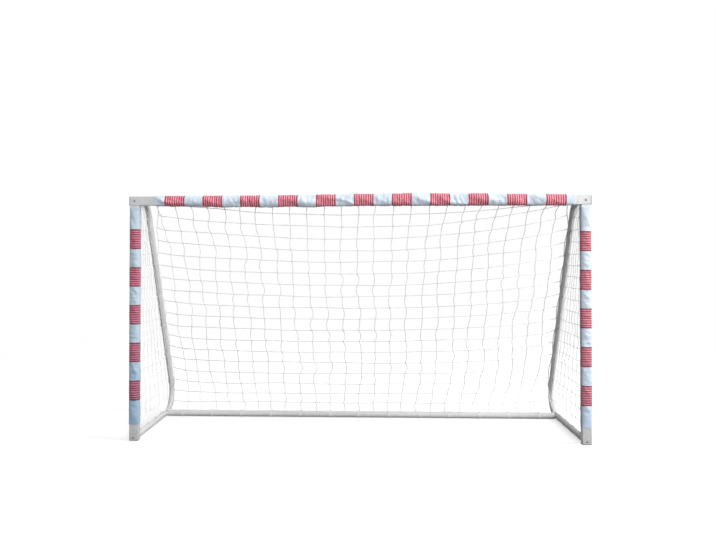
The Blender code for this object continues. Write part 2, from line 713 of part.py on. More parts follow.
def net(name, columns, rows, point_at):
    """A closed lattice of strands with a thicker border, on a grid bent to a surface."""
    mesh = bpy.data.meshes.new(name)
    shape = bmesh.new()
    bmesh.ops.create_grid(shape, x_segments=columns, y_segments=rows, size=0.5)
    border = []
    for vertex in shape.verts:
        column, row = round((vertex.co.x + 0.5) * columns), round((0.5 - vertex.co.y) * rows)
        vertex.co = point_at(column, row)
        if column in (0, columns) or row in (0, rows):
            border.append(vertex.index)
    shape.to_mesh(mesh)
    shape.free()
    made = bpy.data.objects.new(name, mesh)
    bpy.context.scene.collection.objects.link(made)
    keep(made, CORD)
    made.vertex_groups.new(name="border").add(border, 1.0, "REPLACE")
    wire = made.modifiers.new("strands", "WIREFRAME")
    wire.thickness = ROPE
    wire.use_boundary = True
    wire.use_replace = True
    wire.vertex_group = "border"
    wire.thickness_vertex_group = STRAND / ROPE
    return made


def nets():
    net(
        "net_back", BACK_COLUMNS, BACK_ROWS,
        lambda column, row: back_point(2 * column / BACK_COLUMNS - 1, row / BACK_ROWS),
    )
    for word, side in SIDES:
        net(
            f"net_{word}", SIDE_COLUMNS, BACK_ROWS,
            lambda column, row, side=side: side_point(side, column / SIDE_COLUMNS, row),
        )


def slope_tie_place(route, row):
    """Halfway from a row of knots to the next, or one row further down where a screw is in the way."""
    place = on_route(route, (row + 0.5) / BACK_ROWS)
    screws = [screw_place(joint) for joint in (MIDDLE_JOINT, LOW_JOINT)]
    if min((place - screw).length for screw in screws) < TAPE_WIDTH + SCREW_HEAD:
        place = on_route(route, (row + 1.5) / BACK_ROWS)
    return place


def strap(name, circles, place):
    """A strap pulled round a tube and the net's border beside it."""
    keep(prism(name, [around(circles, TOUCH + TAPE_THICK), around(circles, TOUCH)], TAPE_WIDTH, place), TAPE)


def ties():
    half = BACK_COLUMNS // 2
    tube = ((0.0, 0.0), TUBE_R, ROUND_STEPS)
    above = ((0.0, ROPE_OFF), ROPE_R, ROPE_STEPS)
    for index in range(REAR_TIES // 2):
        column = half + int((index + 0.5) * half / (REAR_TIES // 2))
        for word, side in SIDES:
            x = side * between_columns(column)
            place = Matrix.Translation((x, REAR_BAR_Y, TUBE_Z)) @ ALONG_X
            strap(f"rear_tie_{word}_{index + 1}", [tube, above], place)
    route = edge_route()
    for word, side in SIDES:
        beside = ((-side * ROPE_OFF, 0.0), ROPE_R, ROPE_STEPS)
        before = ((0.0, -ROPE_OFF), ROPE_R, ROPE_STEPS)
        for index, row in enumerate(SLOPE_TIE_ROWS):
            centre = in_side_frame(side, [slope_tie_place(route, row)])[0]
            turn = Matrix(((1, 0, 0), (0, OUTWARD.x, UP.x), (0, OUTWARD.y, UP.y))).to_4x4()
            strap(f"slope_tie_{word}_{index + 1}", [tube, beside, before], Matrix.Translation(centre) @ turn)


def main():
    crossbar()
    posts()
    sleeves()
    side_frames()
    rear_bar()
    nets()
    ties()


main()
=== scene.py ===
"""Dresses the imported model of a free-standing garden soccer goal.

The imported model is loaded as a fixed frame. Smooth steel and tube, simulated fabric sleeves, a knotted
net that hangs by its own weight, straps and fasteners are built round it and stand for its solids.
Laid out as an add-on, and run as a script. Metres, +Z up, the mouth faces -Y.
"""

import math
import random
from contextlib import contextmanager

import bmesh
import bpy
import numpy as np
from bpy.props import FloatProperty, FloatVectorProperty, IntProperty, PointerProperty
from mathutils import Matrix, Vector, noise


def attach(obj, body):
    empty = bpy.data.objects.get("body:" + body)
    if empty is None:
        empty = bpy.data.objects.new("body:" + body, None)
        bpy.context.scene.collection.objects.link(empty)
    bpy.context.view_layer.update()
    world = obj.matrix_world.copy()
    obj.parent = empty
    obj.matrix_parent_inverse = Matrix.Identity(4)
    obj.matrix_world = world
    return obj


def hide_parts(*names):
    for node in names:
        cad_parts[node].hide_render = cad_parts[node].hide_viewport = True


bl_info = {
    "name": "Soccer goal",
    "version": (1, 0, 0),
    "blender": (4, 5, 0),
    "location": "3D View > Sidebar > Goal",
    "description": "Steel, tubes, fabric sleeves, knotted net and straps of a garden goal",
    "category": "Add Mesh",
}

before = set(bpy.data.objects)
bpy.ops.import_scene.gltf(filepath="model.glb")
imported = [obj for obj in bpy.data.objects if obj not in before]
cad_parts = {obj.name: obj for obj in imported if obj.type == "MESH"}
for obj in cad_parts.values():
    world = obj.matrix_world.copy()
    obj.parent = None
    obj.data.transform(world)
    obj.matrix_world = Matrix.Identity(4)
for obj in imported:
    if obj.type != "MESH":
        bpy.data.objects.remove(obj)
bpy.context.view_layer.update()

# Sizes of the steel and the tubes, as the CAD model has them
PROFILE_FACE = 0.060
PROFILE_DEEP = 0.040
PROFILE_WALL = 0.0015
PROFILE_ROUND = 0.004
COUPLER_SPAN = 0.060
CROSSBAR_JOINT = 0.500
POST_JOINT = 0.780
CAP_FLANGE = 0.005
CAP_PLUG = 0.020
CAP_WALL = 0.002
FOOT_FLANGE = 0.004
FOOT_PLUG = 0.012
TUBE_R = 0.020
TUBE_WALL = 0.0015
SLOPE_LEAN = math.radians(24.0)
TOP_BEND = 0.120
LOW_BEND = 0.140
REAR_BAR_BACK = 0.700
REAR_JOINT = 0.490
SLOPE_JOINT = 0.620
LOW_STRAIGHT = 0.012
SWAGE_LENGTH = 0.060
SWAGE_TAPER = 0.003
MOUTH = 0.0015  # length over which a tube's edge draws in at a joint, and its gap to the ground tube
MOUTH_LESS = 0.0002
TOUCH = 0.0003
SLEEVE_THICK = 0.0015
BARE_LEFT = 0.170
BARE_RIGHT = 0.103
BARE_TOP = 0.018
BARE_FOOT = 0.115
ROPE_R = 0.003
TAPE_WIDTH = 0.016
TAPE_THICK = 0.0012
BOLT_R = 0.007
BOLT_HIGH = 0.0044
BOLT_SOCKET = 0.005  # across its flats
BOLT_SOCKET_DEEP = 0.0026
BOLT_SHANK_R = 0.004
BOLT_LENGTH = 0.060
SCREW_R = 0.0045
SCREW_HIGH = 0.0026
SCREW_SOCKET = 0.0025
SCREW_SOCKET_DEEP = 0.0012
SCREW_SHANK_R = 0.0021
SCREW_LENGTH = 0.009

# Places in the CAD model
FRONT_Y = -0.4453
MEMBER_Y = FRONT_Y + PROFILE_DEEP / 2
BEHIND_Y = FRONT_Y + PROFILE_DEEP
CROSSBAR_Z = 1.5682
UNDERSIDE_Z = CROSSBAR_Z - PROFILE_FACE / 2
STEEL_X = 1.495
POST_X = STEEL_X - PROFILE_FACE / 2
TUBE_Z = TUBE_R + TOUCH + TAPE_THICK
SWAGE_R = TUBE_R - TUBE_WALL - TOUCH
REAR_BAR_Y = FRONT_Y + REAR_BAR_BACK
TUBE_FRONT_Y = BEHIND_Y + TOUCH
ROPE_OFF = TUBE_R + TOUCH + ROPE_R
ROPE_BEHIND_Y = BEHIND_Y + SLEEVE_THICK + ROPE_R + 0.0024
NET_X = POST_X - ROPE_OFF
NET_TOP_Z = CROSSBAR_Z - 0.010
NET_LOW_Z = TUBE_Z + ROPE_OFF
SIDES = (("left", -1), ("right", 1))
ALONG_X, ALONG_Y, ALONG_Z = Matrix.Identity(3)

# The slope's directions in a side frame's own (y, z) plane
UP = Vector((-math.sin(SLOPE_LEAN), math.cos(SLOPE_LEAN)))
OUTWARD = Vector((math.cos(SLOPE_LEAN), math.sin(SLOPE_LEAN)))
LOW_CENTRE = Vector((0.45 - TUBE_R - LOW_BEND, TUBE_Z + LOW_BEND))
LOW_END = LOW_CENTRE + OUTWARD * LOW_BEND
TOP_CENTRE = Vector((
    LOW_END.x - (CROSSBAR_Z - LOW_END.y) * math.tan(SLOPE_LEAN)
    - TOP_BEND * math.tan((math.pi / 2 - SLOPE_LEAN) / 2),
    CROSSBAR_Z - TOP_BEND,
))
TOP_END = TOP_CENTRE + OUTWARD * TOP_BEND
MIDDLE_JOINT = TOP_END - UP * SLOPE_JOINT
LOW_JOINT = LOW_END + UP * LOW_STRAIGHT

# The net as it hangs
NET_BELLY = 0.030  # how far its middle hangs inwards of a straight line
CORNER_CUT = 0.100  # width over which its top edge runs back to its corners
PULL_REACH = 0.350  # how far in the side frames draw it back
PULL_START = 0.330  # length down its edge over which that begins
EDGE_LIFT = {-1: (0.50, 0.035), 1: (1.55, 0.080)}  # rows by which its side edges sit higher, and return
EDGE_OFF = {-1: (0.055, 0.27), 1: (0.030, 0.12)}  # how far they stand off at the top, down to a share
CENTRE_LIFT = 0.28  # rows by which its middle sits higher
TOP_DRIFT = 0.045  # of its top edge to the right
FOOT_GATHER = 0.050  # of its foot to the middle
KNOT_WANDER = 0.0048
KNOT_RISE = 0.0022
STRAND_BOW = 0.0065
BOW_SIDE = (1.0, 0.25, 0.0)
ROPE_BOW = 0.010
SIDE_FINE = 0.66  # the side nets' cord against the back net's
SIDE_ROW_SLACK = 0.004
BORDER_TURN = math.radians(60.0)  # how far round the slopes, from inside to behind, the border lies
BORDER_LEAVES = (0.76, 0.84)  # shares between which it comes back inside
SIDE_TIES = 7
CROSSBAR_TIES = 13
POST_TIES = 7
RUN_STRAPS = (-0.310, -0.140, 0.030, 0.185)  # along Y, on the ground tubes
STRAP_TAIL = 0.018
RUN_STRAP_TAIL = 0.016
LOOP_THICK = 0.0009
LOOP_FOOT = (0.0065, 0.012)  # where a loop's feet begin and end, to both sides of its middle
LOOP_SEAM = 0.0095
SETTLE_ROUNDS = 60
SETTLE_WEIGHT = 2e-4  # how far a point drops in the first round
CORD_STEP = 4  # pieces of cord from one knot down to the next

# How finely things are made
TUBE_SIDES = 40
CORNER_STEPS = 7
EDGE_ROUND = 0.0006

# The photograph's frame and the camera that fits it
PHOTO_WIDE = 716
SENSOR = 36.0
FOCAL_PX = 683.7
CAMERA_AT = (0.0702, -4.8779, 1.2119)
CAMERA_YAW = -0.0345
CAMERA_PITCH = 0.0152
CENTRE_RIGHT_PX = -13.0
CENTRE_UP_PX = 25.1
FLOOR = 40.0  # from the middle of the floor to its edges
CORNERS = ((-1, -1), (1, -1), (1, 1), (-1, 1))


class Wire:
    """A node's output socket. Python's operators on it add Math nodes to its tree."""

    def __init__(self, nodes, socket):
        self.nodes = nodes
        self.socket = socket

    def maths(self, operation, *others):
        settings = {"operation": operation}
        return self.nodes.add("ShaderNodeMath", settings, dict(enumerate((self, *others))))

    def other(self, name):
        """Another output of the same node."""
        return Wire(self.nodes, self.socket.node.outputs[name])

    def __add__(self, value):
        return self.maths("ADD", value)

    def __sub__(self, value):
        return self.maths("SUBTRACT", value)

    def __mul__(self, value):
        return self.maths("MULTIPLY", value)

    def __truediv__(self, value):
        return self.maths("DIVIDE", value)

    def __rsub__(self, value):
        return self.maths("MULTIPLY_ADD", -1.0, value)

    def __gt__(self, value):
        return self.maths("GREATER_THAN", value)

    def __lt__(self, value):
        return self.maths("LESS_THAN", value)

    __radd__ = __add__
    __rmul__ = __mul__

    def held(self, low=0.0, high=1.0):
        """The value kept between two limits."""
        return self.maths("MAXIMUM", low).maths("MINIMUM", high)


class Nodes:
    """Adds nodes to a shader or geometry tree."""

    def __init__(self, tree):
        self.tree = tree

    def add(self, kind, settings=None, values=None, out=0):
        """One node: its settings first, then its sockets' values or links. Gives one of its outputs."""
        node = self.tree.nodes.new(kind)
        for name, value in (settings or {}).items():
            setattr(node, name, value)
        for name, value in (values or {}).items():
            if isinstance(value, Wire):
                self.tree.links.new(value.socket, node.inputs[name])
            else:
                node.inputs[name].default_value = value
        return Wire(self, node.outputs[out]) if node.outputs else None


class Finish(Nodes):
    """A procedural material."""

    def __init__(self, name):
        self.material = bpy.data.materials.new(name)
        self.material.use_nodes = True
        super().__init__(self.material.node_tree)
        self.tree.nodes.clear()

    def place(self):
        """The point on the piece, in metres."""
        return self.add("ShaderNodeTexCoord", out="Object")

    def split(self, place):
        """A point's X, with its Y and Z as other outputs."""
        return self.add("ShaderNodeSeparateXYZ", values={0: place})

    def surface(self):
        """The piece's own UV map as its two numbers."""
        along = self.split(self.add("ShaderNodeTexCoord", out="UV"))
        return along, along.other("Y")

    def noise(self, place, scale, detail=2.0, roughness=0.5, stretch=None, seed=0.0):
        """Noise around 0.5, finer with the scale, drawn out along an axis by a stretch below 1."""
        if stretch or seed:
            values = {0: place, "Scale": stretch or (1, 1, 1), "Location": (seed, -seed, seed)}
            place = self.add("ShaderNodeMapping", values=values)
        values = {"Vector": place, "Scale": scale, "Detail": detail, "Roughness": roughness}
        return self.add("ShaderNodeTexNoise", values=values)

    def spread(self, value, low, high):
        """The value's range from low to high drawn out to 0 to 1."""
        return self.add("ShaderNodeMapRange", {"clamp": True}, {0: value, 1: low, 2: high})

    def mix(self, share, first, second, blend="MIX"):
        """Two colours mixed by a share."""
        settings = {"data_type": "RGBA", "blend_type": blend}
        return self.add("ShaderNodeMix", settings, {0: share, 6: rgba(first), 7: rgba(second)}, out=2)

    def bump(self, height, strength, distance):
        values = {"Height": height, "Strength": strength, "Distance": distance}
        return self.add("ShaderNodeBump", values=values)

    def shade(self, values):
        """Ends the material in a Principled shader."""
        shader = self.add("ShaderNodeBsdfPrincipled", values=values)
        self.add("ShaderNodeOutputMaterial", values={"Surface": shader})
        return self.material


def rgba(colour):
    return colour if isinstance(colour, Wire) else (*colour, 1.0)


def toned(colour, *shares):
    """A colour made darker or paler: by one share, or by one for each of its three numbers."""
    return tuple(min(1.0, c * s) for c, s in zip(colour, shares * 3))


def steel_finish(colour):
    """Zinc-grey painted steel, mottled, with dulled patches, fine scratches and rubbed dirt."""
    made = Finish("steel_profile")
    place = made.place()
    mottle = made.spread(made.noise(place, 38.0, 5.0, 0.62), 0.32, 0.68)
    cloud = made.spread(made.noise(place, 7.0, 3.0, 0.55, seed=4.0), 0.35, 0.65)
    scratch = made.spread(made.noise(place, 260.0, 2.0, 0.5, stretch=(0.2, 1.0, 1.0), seed=9.0), 0.66, 0.74)
    height = made.split(place).other("Z")
    low = 1.0 - made.spread(height, 0.02, 0.22)
    soil = low * made.spread(made.noise(place, 95.0, 4.0, 0.75, seed=2.0), 0.3, 0.7)
    base = made.mix(mottle * 0.55, colour, toned(colour, 0.80))
    base = made.mix(cloud * 0.35, base, toned(colour, 1.16))
    base = made.mix(scratch * 0.5, base, (0.78, 0.79, 0.80))
    base = made.mix(low * 0.35, base, (0.36, 0.365, 0.37))
    base = made.mix((soil * 0.6).held(), base, (0.27, 0.265, 0.26))
    grain = made.noise(place, 900.0, 2.0)
    return made.shade({
        "Base Color": base,
        "Metallic": 0.15,
        "Roughness": 0.42 + mottle * 0.16 - scratch * 0.1,
        "Normal": made.bump(grain + mottle * 2.0, 0.12, 0.0004),
    })


def tube_finish(colour):
    """White powder coat: orange peel, faint grey handling marks, dust low down."""
    made = Finish("white_tube")
    place = made.place()
    peel = made.noise(place, 700.0, 1.0)
    waves = made.noise(place, 90.0, 2.0, seed=3.0)
    cloud = made.spread(made.noise(place, 9.0, 4.0, 0.6, seed=1.0), 0.35, 0.72)
    marks = made.spread(made.noise(place, 55.0, 3.0, 0.7, stretch=(1.0, 0.35, 0.35), seed=6.0), 0.62, 0.74)
    height = made.split(place).other("Z")
    dust = (1.0 - made.spread(height, 0.0, 0.12)) * made.spread(made.noise(place, 35.0, 4.0, 0.7), 0.35, 0.7)
    base = made.mix(cloud * 0.25, colour, toned(colour, 0.88))
    base = made.mix(marks * 0.35, base, (0.50, 0.50, 0.49))
    base = made.mix(dust * 0.5, base, (0.52, 0.48, 0.42))
    return made.shade({
        "Base Color": base,
        "Roughness": 0.40 + cloud * 0.14 + dust * 0.2,
        "Specular IOR Level": 0.15,
        "Normal": made.bump(peel + waves * 0.6, 0.10, 0.0003),
    })


def zinc_finish():
    """Bright zinc plating, its colour kept dark to stand for the shade in and round the socket (painted
    shade), with a faint brushed grain and dull spots.
    """
    made = Finish("zinc_fastener")
    place = made.place()
    spots = made.spread(made.noise(place, 420.0, 3.0, 0.6), 0.4, 0.7)
    grain = made.noise(place, 1600.0, 2.0, stretch=(1.0, 0.3, 1.0))
    return made.shade({
        # Painted shade: on top of the plating's own grey, the colour is kept dark to stand for the shadow in
        # and round the socket
        "Base Color": made.mix(spots, (0.24, 0.24, 0.235), (0.12, 0.12, 0.115)),
        "Metallic": 0.8,
        "Roughness": 0.34 + spots * 0.25,
        "Normal": made.bump(grain, 0.15, 0.0002),
    })


def plastic_finish():
    """Moulded grey plastic with a fine spark-eroded grain and scuffed, paler edges."""
    made = Finish("grey_plastic")
    place = made.place()
    grain = made.noise(place, 1400.0, 2.0, 0.6)
    scuff = made.spread(made.noise(place, 120.0, 4.0, 0.7, seed=5.0), 0.55, 0.75)
    return made.shade({
        "Base Color": made.mix(scuff * 0.5, (0.17, 0.175, 0.185), (0.34, 0.34, 0.34)),
        "Roughness": 0.50 + scuff * 0.2,
        "Normal": made.bump(grain, 0.25, 0.0002),
    })


def sleeve_finish(name, cloth, ground, ink, first, count, sizes):
    """Woven polyester printed with rose bands and dark stripes, by the sleeve's own UV map in metres, with
    painted shade low down and on the left.
    """
    made = Finish(name)
    along, around = made.surface()
    place = made.place()
    bleed = (made.noise(place, 400.0, 2.0) - 0.5) * 0.0012
    print_along = along + bleed
    phase = (print_along - first) / sizes.block_pitch
    step = phase.maths("FLOOR")
    cell = (phase - step) * sizes.block_pitch
    row = cell / sizes.stripe_pitch
    stripe = row.maths("FRACT")
    middle = (stripe - 0.5).maths("ABSOLUTE")
    outer = (row < 1.0) + (row > sizes.stripes - 1.0)
    line = ((sizes.stripe_share / 2 + outer * 0.10 - middle) / 0.16 + 0.5).held()
    half = sizes.stripes * sizes.stripe_pitch / 2
    inside = (cell - half).maths("ABSOLUTE") < half - sizes.stripe_pitch * (0.4 - sizes.stripe_share / 2)
    inside = inside * (phase > 0.0) * (phase < count - 0.001)
    worn = made.spread(made.noise(place, 90.0, 4.0, 0.7, seed=3.0), 0.25, 0.6)
    printed = line * inside * (0.78 + worn * 0.22)
    tone = made.spread(made.noise(place, 11.0, 3.0, 0.6, seed=2.0), 0.3, 0.7)
    base = made.mix(tone * 0.5, cloth, toned(cloth, 1.10, 1.06, 1.03))
    tinted = made.mix(inside * (0.80 + worn * 0.15), base, ground)
    base = made.mix(printed, tinted, ink)
    sideways = made.split(place)
    # Painted shade: darker and bluer towards the bottom, twice as much on the left side (x < 0), standing in
    # for light that falls off there
    painted_shade = (1.0 - made.spread(sideways.other("Z"), 0.10, 0.90)) * (0.5 + (sideways < 0.0) * 0.5)
    base = made.mix(painted_shade, base, (0.56, 0.68, 0.80), "MULTIPLY")
    weft = (along * (2 * math.pi / sizes.weave)).maths("SINE")
    warp = (around * (2 * math.pi / sizes.weave)).maths("SINE")
    weave = weft * warp
    threads = made.noise(place, 1500.0, 2.0)
    base = made.mix((0.5 + weave * 0.5) * 0.10, base, (0.30, 0.33, 0.38))
    return made.shade({
        "Base Color": base,
        "Roughness": 0.72 + tone * 0.14,
        "Sheen Weight": 0.25,
        "Sheen Roughness": 0.5,
        "Normal": made.bump(weave + threads * 0.6, 0.18, 0.0003),
    })


def cord_finish(name, colour, pitch, lobes):
    """Twisted polyethylene cord: strands that wind round it, painted shade in the grooves between them, fine
    filaments, a little grey dust.
    """
    made = Finish(name)
    along, around = made.surface()
    place = made.place()
    lay = ((along / pitch + around * lobes) * (2 * math.pi)).maths("SINE")
    threads = ((along / pitch + around * lobes) * (14 * math.pi)).maths("SINE")
    fuzz = made.noise(place, 1800.0, 2.0, 0.7)
    dust = made.spread(made.noise(place, 14.0, 4.0, 0.6), 0.35, 0.75)
    base = made.mix(dust * 0.3, colour, toned(colour, 0.92))
    # Painted shade: the cord is darker in the grooves between its twisted strands
    base = made.mix((0.5 - lay * 0.5) * 0.2, base, toned(colour, 0.75))
    return made.shade({
        "Base Color": base,
        "Roughness": 0.62 + fuzz * 0.2,
        "Sheen Weight": 0.2,
        "Normal": made.bump(lay + threads * 0.35 + fuzz * 0.4, 0.35, 0.0004),
    })


def tape_finish(name, colour):
    """Woven hook-and-loop tape: ribs across it and a napped face."""
    made = Finish(name)
    along, around = made.surface()
    place = made.place()
    ribs = (along * (2 * math.pi / 0.0012)).maths("SINE")
    nap = made.noise(place, 1100.0, 3.0, 0.7)
    soil = made.spread(made.noise(place, 45.0, 4.0, 0.65, seed=8.0), 0.4, 0.75)
    base = made.mix(soil * 0.5, colour, toned(colour, 0.72))
    return made.shade({
        "Base Color": base,
        "Roughness": 0.85 + nap * 0.1,
        "Sheen Weight": 0.3,
        "Normal": made.bump(ribs * 0.5 + nap, 0.4, 0.0004),
    })


def thread_finish(colour):
    """Sewing thread."""
    made = Finish("sewing_thread")
    twist = made.noise(made.place(), 2400.0, 2.0)
    return made.shade({
        "Base Color": made.mix(twist, colour, toned(colour, 0.75)),
        "Roughness": 0.7 + twist * 0.1,
        "Normal": made.bump(twist, 0.3, 0.0002),
    })


def directly_seen(nodes):
    """1 for what the camera sees, also in a mirror or through glass."""
    rays = nodes.add("ShaderNodeLightPath", out="Is Camera Ray")
    return (rays + rays.other("Is Glossy Ray") + rays.other("Is Transmission Ray")).held()


def floor_finish(pale):
    """A plain pale floor that shows nearly white to the camera and fades into the backdrop."""
    made = Finish("floor")
    place = made.place()
    far = made.add("ShaderNodeVectorMath", {"operation": "LENGTH"}, {0: place}, out="Value")
    fade = made.spread(far, 2.4, 6.5)
    grain = made.noise(place, 3.0, 4.0, 0.6)
    tone = made.mix(grain, (pale,) * 3, (pale * 0.97,) * 3)
    shown = made.add("ShaderNodeBsdfDiffuse", values={"Color": tone})
    glow = made.add("ShaderNodeEmission", values={"Color": (1, 1, 1, 1), "Strength": 0.57})
    shown = made.add("ShaderNodeAddShader", values={0: shown, 1: glow})
    unseen = made.add("ShaderNodeBsdfDiffuse", values={"Color": (0.02, 0.02, 0.02, 1)})
    near = made.add("ShaderNodeMixShader", values={0: directly_seen(made), 1: unseen, 2: shown})
    clear = made.add("ShaderNodeBsdfTransparent")
    whole = made.add("ShaderNodeMixShader", values={0: fade, 1: near, 2: clear})
    made.add("ShaderNodeOutputMaterial", values={"Surface": whole})
    return made.material


def shape_object(name, vertices, faces, uvs=None, smooth=math.radians(35)):
    """A mesh object from vertices and faces, shaded smooth up to an angle."""
    mesh = bpy.data.meshes.new(name)
    mesh.from_pydata([tuple(v) for v in vertices], [], faces)
    if uvs is not None:
        set_vectors(mesh.uv_layers.new(name="UVMap").data, "uv", uvs)
    mesh.validate()
    mesh.shade_smooth()
    if smooth:
        mesh.set_sharp_from_angle(angle=smooth)
    return placed(name, mesh)


def placed(name, data):
    """A new object in the scene."""
    made = bpy.data.objects.new(name, data)
    bpy.context.scene.collection.objects.link(made)
    return made


def plain(piece):
    """A piece with its modifiers applied, as a new mesh object of its name."""
    graph = bpy.context.evaluated_depsgraph_get()
    mesh = bpy.data.meshes.new_from_object(piece.evaluated_get(graph))
    name = piece.name
    discard(piece)
    return placed(name, mesh)


def discard(*things):
    """Takes objects out of the scene that were only a step on the way."""
    for thing in things:
        bpy.data.objects.remove(thing, do_unlink=True)


@contextmanager
def edited(mesh):
    """A mesh opened for changes, which are written back at the end."""
    shape = bmesh.new()
    shape.from_mesh(mesh)
    yield shape
    shape.to_mesh(mesh)
    shape.free()


def vectors(items, name):
    """One vector of each vertex, corner or point as an array of rows."""
    values = np.zeros(len(items) * 3, np.float32)
    items.foreach_get(name, values)
    return values.reshape(-1, 3)


def set_vectors(items, name, values):
    """Sets one vector of each vertex, corner or point."""
    items.foreach_set(name, np.asarray(values, np.float32).ravel())


def joined(name, parts):
    """Several mesh objects made into one, with their materials kept apart."""
    shape = bmesh.new()
    finishes = []
    for part in parts:
        start = len(shape.faces)
        shape.from_mesh(part.data)
        shape.faces.ensure_lookup_table()
        for material in part.data.materials:
            if material not in finishes:
                finishes.append(material)
        own = [finishes.index(m) for m in part.data.materials] or [0]
        for face in shape.faces[start:]:
            face.material_index = own[min(face.material_index, len(own) - 1)]
    mesh = bpy.data.meshes.new(name)
    shape.to_mesh(mesh)
    shape.free()
    for material in finishes:
        mesh.materials.append(material)
    discard(*parts)
    return placed(name, mesh)


def coat(piece, material):
    piece.data.materials.clear()
    piece.data.materials.append(material)
    return piece


def settle(piece, slot, *nodes):
    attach(piece, "root")
    if nodes:
        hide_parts(*nodes)
    return piece


def skin(rings, closed=False, lengths=None):
    """Vertices and faces over rings of equally many points, and their UVs in metres for given lengths."""
    count, around = len(rings), len(rings[0])
    faces, uvs = [], []
    girth = np.linalg.norm(np.roll(rings[0], -1, 0) - rings[0], axis=1).sum()
    for i in range(count if closed else count - 1):
        near, far = i * around, ((i + 1) % count) * around
        for j in range(around):
            k = (j + 1) % around
            faces.append((near + j, near + k, far + k, far + j))
            if lengths is not None:
                s, t = lengths[i], lengths[(i + 1) % count]
                p, q = girth * j / around, girth * (j + 1) / around
                uvs += [(s, p), (s, q), (t, q), (t, p)]
    return np.concatenate(rings), faces, uvs


def rings_to_mesh(name, rings, closed=False, capped=False, lengths=None):
    """A piece from its rings, closed in itself or with capped ends."""
    vertices, faces, uvs = skin(rings, closed, lengths)
    if capped:
        around = len(rings[0])
        faces.append(tuple(range(around))[::-1])
        faces.append(tuple(range(len(vertices) - around, len(vertices))))
        if uvs:
            uvs += [(lengths[0], 0.0)] * around + [(lengths[-1], 0.0)] * around
    return face_out(shape_object(name, vertices, faces, uvs or None))


def face_out(piece):
    """A closed piece with its faces turned outwards."""
    with edited(piece.data) as shape:
        bmesh.ops.recalc_face_normals(shape, faces=shape.faces)
    return piece


def arc(centre, radius, start, end, steps):
    angles = [start + (end - start) * i / steps for i in range(steps + 1)]
    return [centre + radius * Vector((math.cos(a), math.sin(a))) for a in angles]


def at_side(side, point):
    """A point of a side frame's (y, z) plane, in the goal."""
    return Vector((side * POST_X, point.x, point.y))


def round_tube(name, points, radii, across):
    """A hollow tube along points in one plane, with softly rounded ends. Across is that plane's normal."""
    points = [np.array(p, float) for p in points]
    across = np.array(across, float)
    tangents = []
    for i in range(len(points)):
        before, after = points[max(i - 1, 0)], points[min(i + 1, len(points) - 1)]
        tangents.append((after - before) / np.linalg.norm(after - before))
    start = [points[0] + tangents[0] * EDGE_ROUND] + points[1:-1] + [points[-1] - tangents[-1] * EDGE_ROUND]
    stations = [(points[0], tangents[0], radii[0] - EDGE_ROUND)]
    stations += [(p, t, r) for p, t, r in zip(start, tangents, radii)]
    stations += [(points[-1], tangents[-1], radii[-1] - EDGE_ROUND)]
    stations += [(p, t, r - TUBE_WALL) for p, t, r in list(zip(points, tangents, radii))[::-1]]
    angles = np.arange(TUBE_SIDES) * 2 * math.pi / TUBE_SIDES
    rings = []
    for place, tangent, radius in stations:
        side = np.cross(tangent, across)
        rings.append(place + radius * (np.cos(angles)[:, None] * side + np.sin(angles)[:, None] * across))
    return rings_to_mesh(name, rings, closed=True)


def rounded(wide, high, radius):
    """Outline of a rectangle with round corners."""
    outline = []
    for quarter, (sx, sy) in enumerate(((1, 1), (-1, 1), (-1, -1), (1, -1))):
        for step in range(CORNER_STEPS + 1):
            angle = math.pi / 2 * (quarter + step / CORNER_STEPS)
            x = sx * (wide / 2 - radius) + radius * math.cos(angle)
            y = sy * (high / 2 - radius) + radius * math.sin(angle)
            outline.append((x, y))
    return np.array(outline)


def profile_rings(axis, middle, stations, wide, high, radius):
    """Rings of a rounded rectangle along X or Z: stations are (place along, how much smaller)."""
    rings = []
    for along, less in stations:
        outline = rounded(wide - 2 * less, high - 2 * less, max(radius - less, 0.0004))
        if axis == "x":
            ring = [(along, middle[0] + p, middle[1] + q) for p, q in outline]
        else:
            ring = [(middle[0] + p, middle[1] + q, along) for p, q in outline]
        rings.append(np.array(ring))
    return rings


def profile_tube(name, axis, middle, start, end, wide, high, wall, radius=PROFILE_ROUND):
    """A hollow rectangular tube with its cut ends softly rounded."""
    soft = EDGE_ROUND / 2
    stations = [(start, soft), (start + soft, 0), (end - soft, 0), (end, soft), (end, wall), (start, wall)]
    return rings_to_mesh(name, profile_rings(axis, middle, stations, wide, high, radius), closed=True)


def steel_frame(finish):
    """The crossbar's and posts' sections, with the spigots welded under the crossbar."""
    middle = (MEMBER_Y, CROSSBAR_Z)
    joint = CROSSBAR_JOINT
    spans = {
        "crossbar_left": (-STEEL_X, -joint - TOUCH / 2),
        "crossbar_middle": (-joint + TOUCH / 2, joint - TOUCH / 2),
        "crossbar_right": (joint + TOUCH / 2, STEEL_X),
    }
    less = PROFILE_WALL + TOUCH
    for name, (start, end) in spans.items():
        bar = profile_tube(f"bar_{name}", "x", middle, start, end, PROFILE_DEEP, PROFILE_FACE, PROFILE_WALL)
        parts = [coat(bar, finish)]
        for word, side in SIDES:
            if name.endswith(word):
                wide, high = PROFILE_FACE - 2 * less, PROFILE_DEEP - 2 * less
                spigot = profile_tube(
                    f"spigot_{word}", "z", (side * POST_X, MEMBER_Y), UNDERSIDE_Z - COUPLER_SPAN,
                    UNDERSIDE_Z + PROFILE_WALL / 2, wide, high, PROFILE_WALL, PROFILE_ROUND - less,
                )
                parts.append(coat(spigot, finish))
        settle(joined(f"steel_{name}", parts), "steel_profile", name)
    for word, side in SIDES:
        spans = {
            f"post_{word}_lower": (FOOT_FLANGE + TOUCH, POST_JOINT - TOUCH / 2),
            f"post_{word}_upper": (POST_JOINT + TOUCH / 2, UNDERSIDE_Z - TOUCH),
        }
        for name, (start, end) in spans.items():
            place = (side * POST_X, MEMBER_Y)
            post = profile_tube(
                f"steel_{name}", "z", place, start, end, PROFILE_FACE, PROFILE_DEEP, PROFILE_WALL,
            )
            settle(coat(post, finish), "steel_profile", name)


